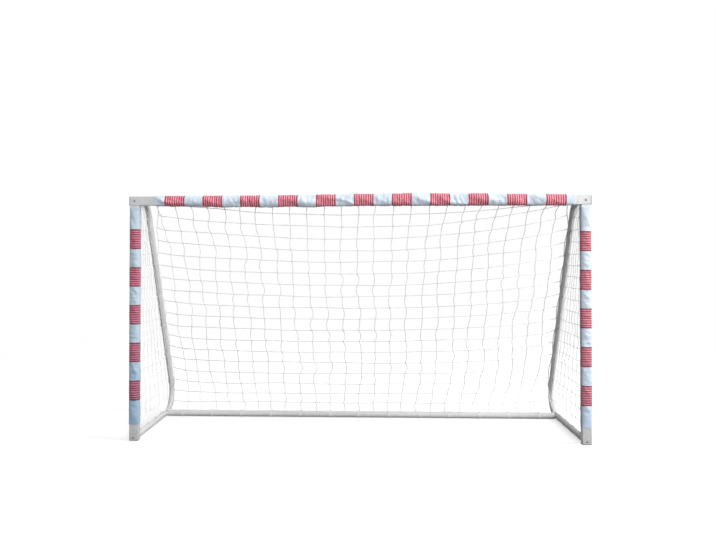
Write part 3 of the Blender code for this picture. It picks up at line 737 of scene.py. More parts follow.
def caps(finish):
    """Plastic caps of the crossbar's ends and the posts' feet."""
    less = PROFILE_WALL + TOUCH  # from the tube's outside in to the plug
    ribs = less + CAP_WALL
    for word, side in SIDES:
        inner, outer, back = (side * (STEEL_X + x) for x in (TOUCH, CAP_FLANGE, -CAP_PLUG))
        crown = side * 0.0012
        flange = [(inner, 0.0003), (inner + side * 0.0003, 0), (outer - crown, 0)]
        flange += [(outer - crown * 0.3, 0.0005), (outer, 0.0016), (outer, 0.006), (outer, 0.014)]
        plug = [(inner + side * 0.001, less), (back, less), (back, ribs), (inner, ribs)]
        place = ("x", (MEMBER_Y, CROSSBAR_Z)), (PROFILE_DEEP, PROFILE_FACE)
        cap(f"end_cap_{word}", f"crossbar_cap_{word}", *place, flange, plug, finish)

        pad = [(0.0, 0.010), (0.0, 0.0018), (0.0006, 0.0006), (0.0014, 0.0), (FOOT_FLANGE - 0.0004, 0.0)]
        pad += [(FOOT_FLANGE, 0.0004)]
        low, high = FOOT_FLANGE - 0.001, FOOT_FLANGE + FOOT_PLUG
        plug = [(low, less), (high, less), (high, ribs), (low, ribs)]
        place = ("z", (side * POST_X, MEMBER_Y)), (PROFILE_FACE, PROFILE_DEEP)
        cap(f"foot_pad_cap_{word}", f"foot_cap_{word}", *place, pad, plug, finish)


def cap(name, node, line, size, flange, plug, finish):
    """One cap: a rounded flange outside the tube and a hollow plug inside it."""
    flange, plug = (profile_rings(*line, stations, *size, PROFILE_ROUND) for stations in (flange, plug))
    parts = [rings_to_mesh("flange", flange, capped=True), rings_to_mesh("plug", plug, closed=True)]
    settle(joined(name, [coat(part, finish) for part in parts]), "grey_plastic", node)


def side_tubes(finish):
    """Arm, slope and ground tubes of both side frames, with swaged joints and the welded stubs."""
    across = (1.0, 0.0, 0.0)
    for word, side in SIDES:
        bend = arc(TOP_CENTRE, TOP_BEND, math.pi / 2, SLOPE_LEAN, 24)
        line = [Vector((TUBE_FRONT_Y, CROSSBAR_Z)), *bend, MIDDLE_JOINT + UP * SWAGE_TAPER]
        arm = round_tube(f"tube_arm_{word}", [at_side(side, p) for p in line], [TUBE_R] * len(line), across)
        settle(coat(arm, finish), "white_tube", f"arm_tube_{word}")

        line = [LOW_JOINT + UP * SWAGE_TAPER]
        line += [MIDDLE_JOINT - UP * MOUTH, MIDDLE_JOINT, MIDDLE_JOINT + UP * SWAGE_TAPER * 0.5]
        line += [MIDDLE_JOINT + UP * SWAGE_TAPER, MIDDLE_JOINT + UP * SWAGE_LENGTH]
        half = (TUBE_R + SWAGE_R) / 2
        radii = [TUBE_R, TUBE_R, TUBE_R - MOUTH_LESS, half, SWAGE_R, SWAGE_R]
        slope = round_tube(f"tube_slope_{word}", [at_side(side, p) for p in line], radii, across)
        settle(coat(slope, finish), "white_tube", f"slope_tube_{word}")

        bend = arc(LOW_CENTRE, LOW_BEND, -math.pi / 2, SLOPE_LEAN, 32)
        line = [Vector((TUBE_FRONT_Y, TUBE_Z)), *bend, LOW_JOINT - UP * MOUTH, LOW_JOINT]
        radii = [TUBE_R] * (len(line) - 1) + [TUBE_R - MOUTH_LESS, half, SWAGE_R, SWAGE_R]
        line += [LOW_JOINT + UP * SWAGE_TAPER * s for s in (0.5, 1.0)] + [LOW_JOINT + UP * SWAGE_LENGTH]
        ground = round_tube(f"run_{word}", [at_side(side, p) for p in line], radii, across)
        wall = side * (POST_X - TUBE_R + 0.0005)
        tip = side * (POST_X - TUBE_R - SWAGE_LENGTH)
        ends = [Vector((x, REAR_BAR_Y, TUBE_Z)) for x in (wall, tip)]
        stub = round_tube(f"stub_{word}", ends, [SWAGE_R] * 2, (0.0, 1.0, 0.0))
        parts = [coat(p, finish) for p in (ground, stub, weld_bead(f"bead_{word}", side))]
        settle(joined(f"tube_ground_{word}", parts), "white_tube", f"ground_tube_{word}")


def weld_bead(name, side):
    """The bead where the rear bar's stub is welded to the ground tube: a rippled ring in the saddle."""
    dice = random.Random(11 + side)
    steps, section = 72, 7
    rings = []
    for i in range(steps):
        angle = 2 * math.pi * i / steps
        out = Vector((0, math.cos(angle), math.sin(angle)))
        rise = math.sqrt(TUBE_R**2 - (SWAGE_R * math.sin(angle)) ** 2)
        place = Vector((side * (POST_X - rise), REAR_BAR_Y, TUBE_Z)) + out * SWAGE_R
        thick = 0.0016 + 0.00025 * math.sin(i * 1.9) + dice.uniform(-0.0001, 0.0001)
        away = Vector((-side, 0, 0))
        turns = [2 * math.pi * j / section for j in range(section)]
        rings.append(np.array([place + (out * math.cos(t) + away * math.sin(t)) * thick for t in turns]))
    return rings_to_mesh(name, rings, closed=True)


def rear_bar(finish):
    """Three tubes on the ground behind the goal, swaged into each other and over the welded stubs."""
    across = (0.0, 1.0, 0.0)

    def at(x):
        return Vector((x, REAR_BAR_Y, TUBE_Z))

    inner, outer = REAR_JOINT + SWAGE_TAPER, REAR_JOINT + SWAGE_LENGTH
    half = (TUBE_R + SWAGE_R) / 2
    ends = [REAR_JOINT - MOUTH, REAR_JOINT, REAR_JOINT + SWAGE_TAPER / 2, inner, outer]
    radii = [TUBE_R, TUBE_R - MOUTH_LESS, half, SWAGE_R, SWAGE_R]
    points = [at(-x) for x in ends[::-1]] + [at(x) for x in ends]
    middle = round_tube("tube_rear_middle", points, radii[::-1] + radii, across)
    settle(coat(middle, finish), "white_tube", "rear_bar_middle")
    for word, side in SIDES:
        points = [at(side * inner), at(side * (POST_X - TUBE_R - MOUTH))]
        bar = round_tube(f"tube_rear_{word}", points, [TUBE_R] * 2, across)
        settle(coat(bar, finish), "white_tube", f"rear_bar_{word}")


def button_head(name, radius, high, flats, deep, shank, length):
    """A domed fastener that points along +Z from its seat at z = 0, with a hex socket and a plain shank."""
    socket = flats / 2 / math.cos(math.pi / 6)
    count = 24

    def ring(size, height, hexed=False):
        out = []
        for i in range(count):
            angle = 2 * math.pi * (i + 0.5) / count
            reach = size
            if hexed:
                turn = (angle + math.pi / 6) % (math.pi / 3) - math.pi / 6
                reach = size * math.cos(math.pi / 6) / math.cos(turn)
            out.append((reach * math.cos(angle), reach * math.sin(angle), height))
        return np.array(out)

    rings = [ring(socket * 0.35, high - deep - 0.0004, True), ring(socket, high - deep, True)]
    rings += [ring(socket, high - 0.0005, True), ring(socket * 1.10, high - 0.0002, True)]
    for step in range(2, 7):
        angle = math.pi / 2 * (1 - step / 6)
        rings.append(ring(radius * math.cos(angle), 0.0006 + (high - 0.0008) * math.sin(angle)))
    rings += [ring(radius, 0.0004), ring(radius - 0.0004, 0.0), ring(shank, 0.0), ring(shank, -length)]
    return rings_to_mesh(name, rings, capped=True)


def started(name, **sockets):
    """A new geometry tree with named inputs, as its nodes and its group input."""
    tree = bpy.data.node_groups.new(name, "GeometryNodeTree")
    for title, kind in {"Geometry": "Geometry", **sockets, "Material": "Material"}.items():
        tree.interface.new_socket(title.replace("_", " "), in_out="INPUT", socket_type=f"NodeSocket{kind}")
    tree.interface.new_socket("Geometry", in_out="OUTPUT", socket_type="NodeSocketGeometry")
    nodes = Nodes(tree)
    return nodes, nodes.add("NodeGroupInput", out="Geometry")


def ended(nodes, given, shape):
    """Ends a geometry tree with real geometry in the given material."""
    real = nodes.add("GeometryNodeRealizeInstances", values={0: shape})
    coated = nodes.add("GeometryNodeSetMaterial", values={0: real, "Material": given.other("Material")})
    nodes.add("NodeGroupOutput", values={0: coated})
    return nodes.tree


def uneven_size(nodes, given):
    """A random size around 1 for each copy."""
    uneven = given.other("Unevenness")
    values = {2: 1.0 - uneven, 3: 1.0 + uneven, "Seed": given.other("Seed")}
    return nodes.add("FunctionNodeRandomValue", {"data_type": "FLOAT"}, values, out=1)


def captured(nodes, shape, name, value):
    """Geometry with a number kept on it under a name."""
    kept = nodes.add("GeometryNodeCaptureAttribute")
    node = kept.socket.node
    node.capture_items.new("FLOAT", name)
    for socket, wire in zip(node.inputs, (shape, value)):
        nodes.tree.links.new(wire.socket, socket)
    return kept


def resampled(nodes, line, length):
    """A line with points at an even pitch."""
    values = {"Curve": line, "Length": length}
    return nodes.add("GeometryNodeResampleCurve", {"mode": "LENGTH"}, values)


def set_out_tree():
    """Geometry nodes: copies of a thing on points, turned by their own angles, as one mesh."""
    nodes, given = started("set_out", Thing="Object", Size="Float", Unevenness="Float", Seed="Int")
    values = {"Object": given.other("Thing")}
    thing = nodes.add("GeometryNodeObjectInfo", {"transform_space": "ORIGINAL"}, values, out="Geometry")
    turn = nodes.add("GeometryNodeInputNamedAttribute", {"data_type": "FLOAT_VECTOR"}, {"Name": "turn"})
    angle = nodes.add("FunctionNodeEulerToRotation", values={"Euler": turn})
    size = uneven_size(nodes, given) * given.other("Size")
    values = {"Points": given, "Instance": thing, "Rotation": angle, "Scale": size}
    return ended(nodes, given, nodes.add("GeometryNodeInstanceOnPoints", values=values))


def cord_tree():
    """Geometry nodes: lines of a mesh made into twisted cord with a UV map along and round it."""
    nodes, given = started(
        "cord", Radius="Float", Spacing="Float", Sides="Int", Lobes="Float", Lobe_Depth="Float",
        Turns_per_Metre="Float",
    )
    line = nodes.add("GeometryNodeMeshToCurve", values={0: given})
    line = nodes.add("GeometryNodeCurveSplineType", {"spline_type": "CATMULL_ROM"}, {0: line})
    line = resampled(nodes, line, given.other("Spacing"))
    along = nodes.add("GeometryNodeSplineParameter", out="Length")
    tilt = along * given.other("Turns per Metre") * (2 * math.pi)
    line = nodes.add("GeometryNodeSetCurveTilt", values={"Curve": line, "Tilt": tilt})
    line = captured(nodes, line, "Along", along)
    values = {"Resolution": given.other("Sides"), "Radius": 1.0}
    circle = nodes.add("GeometryNodeCurvePrimitiveCircle", values=values)
    place = nodes.add("GeometryNodeInputPosition")
    split = nodes.add("ShaderNodeSeparateXYZ", values={0: place})
    angle = split.other("Y").maths("ARCTAN2", split)
    wave = (angle * given.other("Lobes")).maths("COSINE") * given.other("Lobe Depth")
    reach = (1.0 + wave) * given.other("Radius")
    scaled = nodes.add("ShaderNodeVectorMath", {"operation": "SCALE"}, {0: place, "Scale": reach})
    circle = nodes.add("GeometryNodeSetPosition", values={"Geometry": circle, "Position": scaled})
    share = nodes.add("GeometryNodeSplineParameter", out="Factor")
    circle = captured(nodes, circle, "Round", share)
    values = {"Curve": line, "Profile Curve": circle, "Fill Caps": True}
    skin = nodes.add("GeometryNodeCurveToMesh", values=values)
    uv = nodes.add("ShaderNodeCombineXYZ", values={0: line.other("Along"), 1: circle.other("Round")})
    settings = {"data_type": "FLOAT2", "domain": "CORNER"}
    values = {"Geometry": skin, "Name": "UVMap", "Value": uv}
    mapped = nodes.add("GeometryNodeStoreNamedAttribute", settings, values)
    return ended(nodes, given, nodes.add("GeometryNodeSetShadeSmooth", values={0: mapped}))


def stitch_tree():
    """Geometry nodes: short threads at an even pitch along the lines of a mesh."""
    nodes, given = started(
        "stitches", Pitch="Float", Length="Float", Thickness="Float", Unevenness="Float", Seed="Int",
    )
    line = nodes.add("GeometryNodeMeshToCurve", values={0: given})
    line = resampled(nodes, line, given.other("Pitch"))
    along = nodes.add("GeometryNodeInputTangent")
    turn = nodes.add("FunctionNodeAlignRotationToVector", {"axis": "Z"}, {"Vector": along})
    thread = nodes.add("GeometryNodeMeshUVSphere", values={"Segments": 6, "Rings": 4, "Radius": 0.5})
    thick = given.other("Thickness")
    length = given.other("Length") * uneven_size(nodes, given)
    size = nodes.add("ShaderNodeCombineXYZ", values={0: thick, 1: thick, 2: length})
    values = {"Points": line, "Instance": thread, "Rotation": turn, "Scale": size}
    threads = nodes.add("GeometryNodeInstanceOnPoints", values=values)
    return ended(nodes, given, nodes.add("GeometryNodeSetShadeSmooth", values={0: threads}))


def grown(base, tree, **values):
    """Runs a geometry tree on an object and gives its result as a plain mesh object of that name."""
    modifier = base.modifiers.new(tree.name, "NODES")
    modifier.node_group = tree
    for item in tree.interface.items_tree:
        name = item.name.replace(" ", "_")
        if item.in_out == "INPUT" and name in values:
            modifier[item.identifier] = values[name]
    return plain(base)


def set_out(name, places, turns, thing, tree, material, seed, size=1.0, uneven=0.0):
    """Copies of a thing, one at each place and turned by its own angles, as one mesh."""
    points = points_object(name, places, turns)
    return grown(points, tree, Thing=thing, Size=size, Unevenness=uneven, Seed=seed, Material=material)


def points_object(name, places, turns):
    """Loose points with the angles that things set out on them are turned by."""
    mesh = bpy.data.meshes.new(name)
    mesh.from_pydata([tuple(p) for p in places], [], [])
    set_vectors(mesh.attributes.new("turn", "FLOAT_VECTOR", "POINT").data, "vector", turns)
    return placed(name, mesh)


def lines_object(name, lines):
    """A mesh of open or closed lines. A line whose last point is its first is closed."""
    vertices, edges = [], []
    for line in lines:
        line = [tuple(p) for p in line]
        closed = line[0] == line[-1]
        if closed:
            line = line[:-1]
        start = len(vertices)
        vertices += line
        edges += [(start + i, start + i + 1) for i in range(len(line) - 1)]
        if closed:
            edges.append((start + len(line) - 1, start))
    mesh = bpy.data.meshes.new(name)
    mesh.from_pydata(vertices, edges, [])
    return placed(name, mesh)


def facing(direction):
    """The angles that turn +Z to a direction."""
    return tuple(direction.to_track_quat("Z", "Y").to_euler())


def fasteners(finish, tree):
    """Corner and foot bolts seen from the front, and the screws that lock the tube joints."""
    socket, shank = (BOLT_SOCKET, BOLT_SOCKET_DEEP), (BOLT_SHANK_R, BOLT_LENGTH)
    head = button_head("bolt_form", BOLT_R, BOLT_HIGH, *socket, *shank)
    turns = [facing(-ALONG_Y)] * 2
    for corner, height in (("corner", CROSSBAR_Z), ("foot", TUBE_Z)):
        places = [(side * POST_X, FRONT_Y - TOUCH, height) for _, side in SIDES]
        bolts = set_out(f"bolts_{corner}", places, turns, head, tree, finish, 1)
        settle(bolts, "zinc_fastener", f"{corner}_bolt_left", f"{corner}_bolt_right")

    socket, shank = (SCREW_SOCKET, SCREW_SOCKET_DEEP), (SCREW_SHANK_R, SCREW_LENGTH)
    screw = button_head("screw_form", SCREW_R, SCREW_HIGH, *socket, *shank)
    outward = at_side(0, OUTWARD)
    middle = (SWAGE_TAPER + SWAGE_LENGTH) / 2
    out = TUBE_R + TOUCH
    turns = [facing(outward)] * 2 + [facing(ALONG_Y)] * 2
    for word, side in SIDES:
        places = [at_side(side, j + UP * middle) + outward * out for j in (MIDDLE_JOINT, LOW_JOINT)]
        joints = (REAR_JOINT + middle, POST_X - TUBE_R - SWAGE_LENGTH / 2)
        places += [Vector((side * x, REAR_BAR_Y + out, TUBE_Z)) for x in joints]
        screws = set_out(f"screws_{word}", places, turns, screw, tree, finish, 2)
        names = [f"{joint}_screw_{word}" for joint in ("middle", "low", "rear", "stub")]
        settle(screws, "zinc_fastener", *names)
    discard(head, screw)


# How far the crossbar's loose sleeve stands off above and below, along X, and a post's beside it
STANDS_ABOVE = (
    (-1.3, -0.55, -0.30, 0.05, 0.35, 0.65, 1.0, 1.35),
    (0.001, 0.002, 0.006, 0.011, 0.016, 0.014, 0.010, 0.005),
)
SAGS_BELOW = ((-1.3, -1.1, -0.90, -0.30, -0.10, 0.1, 1.35), (0.0, 0.003, 0.010, 0.010, 0.004, 0.001, 0.001))
EVEN = ((0.0, 1.6), (0.0008, 0.0008))
# The share by which the cloth swells, how high its folds are, and how it stands off
CROSSBAR_CLOTH = (0.05, 0.0085, STANDS_ABOVE, SAGS_BELOW)
POST_CLOTH = (0.035, 0.0036, EVEN, EVEN)
HELD_BACK_Y = BEHIND_Y + 0.0022  # the net's loops hold the cloth flat behind the bars
LOOP_FOOT_Y = HELD_BACK_Y + 0.0028
SIM_SCALE = 10.0  # cloth is simulated ten times as large
SLEEVE_AROUND = 28
CROSSBAR_PRINT = -1.2605  # where its first stripe starts, along X
LEFT_PRINT_TOP = 1.384  # height of the posts' uppermost stripes
RIGHT_PRINT_TOP = 1.369
SLEEVE_STEP = 0.008
SLEEVE_CROWN = 0.0045  # how far the middle of its front bulges
SLEEVE_ROOM = 0.0012  # between the steel and the cloth before it settles
CLOTH_THICK = 0.0009
OVERLAP_THICK = 0.0011
THREAD = 0.0007
SIM_GAP = 0.004  # between cloth and bar, at the simulation's scale


def sleeve_outline(grow):
    """Evenly spaced points round the profile, or grown outwards, from the middle of its back."""
    a, b, r = PROFILE_FACE / 2 + grow, PROFILE_DEEP / 2 + grow, PROFILE_ROUND + grow
    dense = [(0.0, b)]
    for cx, cy, quarter in ((r - a, b - r, 1), (r - a, r - b, 2), (a - r, r - b, 3), (a - r, b - r, 0)):
        for step in range(9):
            angle = math.pi / 2 * (quarter + step / 8)
            dense.append((cx + r * math.cos(angle), cy + r * math.sin(angle)))
    way, dense = way_along([*dense, (0.0, b)])
    return on_way(way, dense, np.linspace(0, way[-1], SLEEVE_AROUND + 1)[:-1])


def way_along(points):
    """How far along a flat line each point is, and the points as an array."""
    points = np.array(points)
    return np.concatenate([[0], np.cumsum(np.hypot(*(points[1:] - points[:-1]).T))]), points


def on_way(way, points, marks):
    """The points at some marks along a flat line."""
    return np.stack([np.interp(marks, way, points[:, i]) for i in (0, 1)], 1)


def sleeve_grid(name, axis, middle, start, end, outline, rows, uv=False):
    """A tube of cloth or a bar as rows of the outline ring, along X or Z."""
    stations = [start + (end - start) * i / rows for i in range(rows + 1)]
    rings = []
    for along in stations:
        if axis == "x":
            ring = [(along, middle[0] + q, middle[1] + p) for p, q in outline]
        else:
            ring = [(middle[0] + p, middle[1] + q, along) for p, q in outline]
        rings.append(np.array(ring))
    vertices, faces, uvs = skin(rings, lengths=stations if uv else None)
    return shape_object(name, vertices, faces, uvs or None, smooth=None)


def cloth_sleeve(name, bar_line, swell, seed, sizes):
    """Fabric a little too long and wide for its bar, left to buckle and settle on it."""
    axis, middle, start, end = bar_line
    rows = round((end - start) / SLEEVE_STEP)
    ring = sleeve_outline(SLEEVE_ROOM + sizes.looseness)
    cloth = sleeve_grid(name, axis, middle, start, end, ring, rows, uv=True)
    vertices = cloth.data.vertices
    origin = Vector(vertices[0].co)
    jitter = np.random.default_rng(seed).normal(0, 0.004, (len(vertices), 3))
    places = (vectors(vertices, "co") - np.array(origin)) * SIM_SCALE + jitter
    set_vectors(vertices, "co", places)
    bar = sleeve_grid("bar_form", axis, middle, start - 0.05, end + 0.05, sleeve_outline(0.0), 24)
    with edited(bar.data) as shape:
        bmesh.ops.translate(shape, vec=-origin, verts=shape.verts)
        bmesh.ops.scale(shape, vec=(SIM_SCALE,) * 3, verts=shape.verts)
        bmesh.ops.holes_fill(shape, edges=[e for e in shape.edges if e.is_boundary])
        bmesh.ops.recalc_face_normals(shape, faces=shape.faces)
    bar.modifiers.new("collision", "COLLISION")
    bar.collision.thickness_outer = SIM_GAP
    bar.collision.cloth_friction = 8.0
    pin = cloth.vertex_groups.new(name="seam")
    pin.add([i * SLEEVE_AROUND for i in range(rows + 1)], 1.0, "REPLACE")
    pin.add([i * SLEEVE_AROUND + j for i in (0, rows) for j in range(SLEEVE_AROUND)], 0.0, "REPLACE")
    made = simulated(cloth, pin.name, swell)
    discard(bar)
    with edited(made.data) as shape:
        bmesh.ops.scale(shape, vec=(1 / SIM_SCALE,) * 3, verts=shape.verts)
        bmesh.ops.translate(shape, vec=origin, verts=shape.verts)
        bmesh.ops.recalc_face_normals(shape, faces=shape.faces)
    return made


def simulated(cloth, pinned, swell, frames=25):
    """The cloth after it has swelled by a share and settled."""
    modifier = cloth.modifiers.new("cloth", "CLOTH")
    for name, value in {
        "quality": 5, "mass": 0.1, "tension_stiffness": 20, "compression_stiffness": 20,
        "shear_stiffness": 8, "bending_stiffness": 0.5, "tension_damping": 5, "air_damping": 2.0,
        "shrink_min": -swell, "vertex_group_mass": pinned, "pin_stiffness": 1.0,
    }.items():
        setattr(modifier.settings, name, value)
    modifier.collision_settings.distance_min = SIM_GAP
    modifier.collision_settings.collision_quality = 2
    modifier.point_cache.frame_start = 1
    modifier.point_cache.frame_end = frames
    scene = bpy.context.scene
    for step in range(1, frames + 1):
        scene.frame_set(step)
    made = plain(cloth)
    scene.frame_set(1)
    return made


def loosened(sheet, bar, fold, above, below, seed):
    """Crowns a sleeve's front, lays slanting folds in it and lets it stand off its bar above and below."""
    axis, middle, start, end = bar
    half = PROFILE_FACE / 2
    for vertex in sheet.data.vertices:
        x, y, z = vertex.co
        if axis == "x":
            along, across, deep = x, z - middle[1], y - middle[0]
        else:
            along, across, deep = z, x - middle[0], y - middle[1]
        front = min(max(0.5 - deep / PROFILE_DEEP, 0.0), 1.0)
        level = min(abs(across) / half, 1.0)
        ends = min(1.0, 0.25 + min(along - start, end - along) / 0.06)
        slant = Vector((along * 9.0 + across * 15.0, across * 7.0 - along * 2.5, seed))
        wave = noise.noise(slant) + 0.45 * noise.noise(slant * 2.3)
        crease = max(0.0, 1 - 3.2 * abs(noise.noise(slant * 0.9 + Vector((7.3, 2.1, 0.0)))))
        out = SLEEVE_CROWN * (1 - level**2) + fold * (max(0.0, 0.45 + wave) + crease) * (1 - level**4)
        out *= front**2 * ends
        off = np.interp(along, *(above if across > 0 else below)) * (1 + 0.5 * wave)
        off *= level**3 * (0.35 + 0.65 * front) * ends * (1 if across > 0 else -1)
        y = min(y, HELD_BACK_Y) + 0.15 * max(0.0, y - HELD_BACK_Y) - out
        vertex.co = (x, y, z + off) if axis == "x" else (x + off, y, z)
    sheet.data.update()


def thickened(piece, thickness):
    """Smooths a sheet and gives it its thickness, outwards, as a plain mesh."""
    smooth = piece.modifiers.new("smooth", "SUBSURF")
    smooth.levels = smooth.render_levels = 1
    wall = piece.modifiers.new("wall", "SOLIDIFY")
    wall.thickness = thickness
    wall.offset = 1.0
    made = plain(piece)
    made.data.shade_smooth()
    return made


def ring_rows(sheet, rows):
    """A sleeve's vertices as rows round the bar, with their outward directions."""
    found = vectors(sheet.data.vertices, "co"), vectors(sheet.data.vertex_normals, "vector")
    return [values.reshape(rows + 1, SLEEVE_AROUND, 3).astype(float) for values in found]


def band(name, rows, normals, places, thick):
    """A flat strip over rows of points, lifted by its thickness and closed. Places are its points' UVs."""
    low, high = rows + normals * thick, rows + normals * (2 * thick)
    down, across = rows.shape[:2]
    vertices = np.concatenate([low.reshape(-1, 3), high.reshape(-1, 3)])
    half = down * across
    faces = []
    for i in range(down - 1):
        for j in range(across - 1):
            a, b = i * across + j, i * across + j + 1
            c, d = a + across, b + across
            faces.append((a, b, d, c))
            faces.append((half + a, half + c, half + d, half + b))
    rim = list(range(across))
    rim += [i * across + across - 1 for i in range(1, down)]
    rim += [(down - 1) * across + j for j in range(across - 2, -1, -1)]
    rim += [i * across for i in range(down - 2, 0, -1)]
    for a, b in zip(rim, rim[1:] + rim[:1]):
        faces.append((a, half + a, half + b, b))
    flat = places.reshape(-1, 2)
    return face_out(shape_object(name, vertices, faces, [flat[v % half] for face in faces for v in face]))


def sleeves(goal, cloths, thread, tape, trees):
    """Three simulated sleeves with hems, an overlap closed behind, stitches and sewn net loops."""
    sizes = goal.sleeves
    plans = (
        ("crossbar", ("x", (MEMBER_Y, CROSSBAR_Z), BARE_LEFT - STEEL_X, STEEL_X - BARE_RIGHT), 3),
        ("post_left", ("z", (-POST_X, MEMBER_Y), BARE_FOOT, UNDERSIDE_Z - BARE_TOP), 5),
        ("post_right", ("z", (POST_X, MEMBER_Y), BARE_FOOT, UNDERSIDE_Z - BARE_TOP), 8),
    )
    for (word, bar, seed), finish in zip(plans, cloths):
        name = f"sleeve_{word}"
        axis, middle, start, end = bar
        swell, *looseness = CROSSBAR_CLOTH if axis == "x" else POST_CLOTH
        sheet = cloth_sleeve(f"cloth_{word}", bar, swell, seed, sizes)
        loosened(sheet, bar, *looseness, seed)
        count = round((end - start) / SLEEVE_STEP)
        rows, normals = ring_rows(sheet, count)
        girth = np.linalg.norm(np.roll(rows[0], -1, 0) - rows[0], axis=1).sum()
        stations = np.linspace(start, end, count + 1)
        turns = np.arange(SLEEVE_AROUND) * girth / SLEEVE_AROUND
        places = np.stack(np.meshgrid(stations, turns, indexing="ij"), 2)
        hems = []
        for side, span in (("low", slice(0, 3)), ("high", slice(count - 2, count + 1))):
            hoops = [np.concatenate([a[span], a[span][:, :1]], axis=1) for a in (rows, normals, places)]
            hems.append(coat(band(f"hem_{word}_{side}", *hoops, CLOTH_THICK), finish))
        over, over_normals, over_places = [
            np.concatenate([a[:, -3:], a[:, :4]], axis=1) for a in (rows, normals, places)
        ]
        strip = coat(band(f"overlap_{word}", over, over_normals, over_places, OVERLAP_THICK), finish)
        edges = []
        for column in (0, -1):
            edges.append(over[:, column] * 0.75 + over[:, column - 1 if column else 1] * 0.25)
            edges[-1] = edges[-1] + over_normals[:, column] * (OVERLAP_THICK + 0.0012)
        for row in (2, count - 2):
            hoop = rows[row] + normals[row] * 0.0019
            edges.append(np.concatenate([hoop, hoop[:1]]))
        stitches = grown(
            lines_object(f"stitches_{word}", edges), trees["stitches"], Pitch=sizes.stitch_pitch,
            Length=sizes.stitch_pitch * 0.72, Thickness=THREAD, Unevenness=0.12, Seed=seed, Material=thread,
        )
        loops, sewing = loops_of(word, axis, middle, tape, thread, trees, seed)
        sheet = coat(thickened(sheet, CLOTH_THICK), finish)
        piece = joined(f"fabric_{name}", [sheet, *hems, strip, loops])
        settle(piece, "sleeve_fabric", name)
        flat = (girth + 0.03, (end - start) * 1.02)
        seams = settle(joined(f"seams_{word}", [stitches, sewing]), "sleeve_fabric")
        bars_under(word)


def loops_of(word, axis, middle, tape, thread, trees, seed):
    """Tape loops sewn to a sleeve's back, round the net's border, and the seams across their feet."""
    reach = ROPE_R + TOUCH + LOOP_THICK / 2
    foot, rope_off = LOOP_FOOT_Y, ROPE_BEHIND_Y
    inner_end, outer_end = LOOP_FOOT
    path = [(foot, outer_end), (foot, inner_end)]
    for i in range(11):
        angle = math.radians(105 - 21 * i)
        path.append((rope_off + reach * math.cos(angle), reach * math.sin(angle)))
    path += [(foot, -inner_end), (foot, -outer_end)]
    form = tape_along(f"loop_form_{word}", np.array(path), [0.0] * len(path), LOOP_THICK)
    if axis == "x":
        along, across, turn = ALONG_X, ALONG_Z, angles_of(ALONG_Y, ALONG_Z, ALONG_X)
        pitch = 2 * NET_X / CROSSBAR_TIES
        places = [Vector((i * pitch - NET_X, 0, NET_TOP_Z)) for i in range(1, CROSSBAR_TIES)]
    else:
        along, across, turn = ALONG_Z, ALONG_X, angles_of(ALONG_Y, -ALONG_X, ALONG_Z)
        low, high = BARE_FOOT + 0.05, UNDERSIDE_Z - BARE_TOP - 0.05
        places = [Vector((middle[0], 0, low + (high - low) * i / (POST_TIES - 1))) for i in range(POST_TIES)]
    loops = set_out(f"loops_{word}", places, [turn] * len(places), form, trees["set_out"], tape, seed)
    discard(form)
    rows = []
    for place in places:
        for off in (-LOOP_SEAM, LOOP_SEAM):
            start = place + across * off + ALONG_Y * (foot + LOOP_THICK / 2)
            rows.append([start - along * 0.006, start + along * 0.006])
    sewing = grown(
        lines_object(f"loop_seams_{word}", rows), trees["stitches"], Pitch=0.003, Length=0.0022,
        Thickness=THREAD, Unevenness=0.1, Seed=seed + 1, Material=thread,
    )
    return loops, sewing


def bars_under(word):
    """The steel pieces that a sleeve is pulled over."""
    if word == "crossbar":
        return [f"steel_crossbar_{part}" for part in ("left", "middle", "right")]
    return [f"steel_{word}_{part}" for part in ("lower", "upper")]


def edge_route(off=0.0):
    """The side edge's way in the (y, z) plane: from the arm down the slope and in to the rear bar."""
    bend = arc(TOP_CENTRE, TOP_BEND + off, math.pi / 2, SLOPE_LEAN, 12)
    return [*bend, LOW_END + OUTWARD * off, Vector((REAR_BAR_Y, NET_LOW_Z))]


def on_route(route, share):
    """The point at a share of a route."""
    spans = [(b - a).length for a, b in zip(route, route[1:])]
    left = share * sum(spans)
    for a, b, span in zip(route, route[1:], spans):
        if left <= span:
            return a.lerp(b, left / span)
        left -= span
    return route[-1].copy()


def line_of(points):
    """A falling line in the (y, z) plane as heights, which rise for lookups, and their y."""
    return np.array(sorted((p.y, p.x) for p in points))


def y_at(line, height):
    """A line's y at a height."""
    return float(np.interp(height, line[:, 0], line[:, 1]))


def middle_line():
    """The back net's middle in the (y, z) plane: from the crossbar to the rear bar, sagging inwards."""
    top, bottom = Vector((ROPE_BEHIND_Y, NET_TOP_Z)), Vector((REAR_BAR_Y, NET_LOW_Z))
    chord = (bottom - top).normalized()
    out = Vector((chord.y, -chord.x))
    shares = [i / 60 for i in range(61)]
    return [top.lerp(bottom, s) + out * NET_BELLY * math.sin(math.pi * s) for s in shares]


def rope_bow(share, side):
    """How far a side border hangs off its tube, at a share of the way down."""
    off, until = EDGE_OFF[side]
    return ROPE_BOW * abs(math.sin(math.pi * share * SIDE_TIES)) ** 1.3 + off * max(0.0, 1 - share / until)


def edge_share(row, rows, side):
    """Where down the side edge a cord across is tied: higher up on the right than on the left."""
    if row >= rows:
        return 1.0
    lift, return_rate = EDGE_LIFT[side]
    return min(max((row - lift + return_rate * row) / rows, 0.0), 1.0)


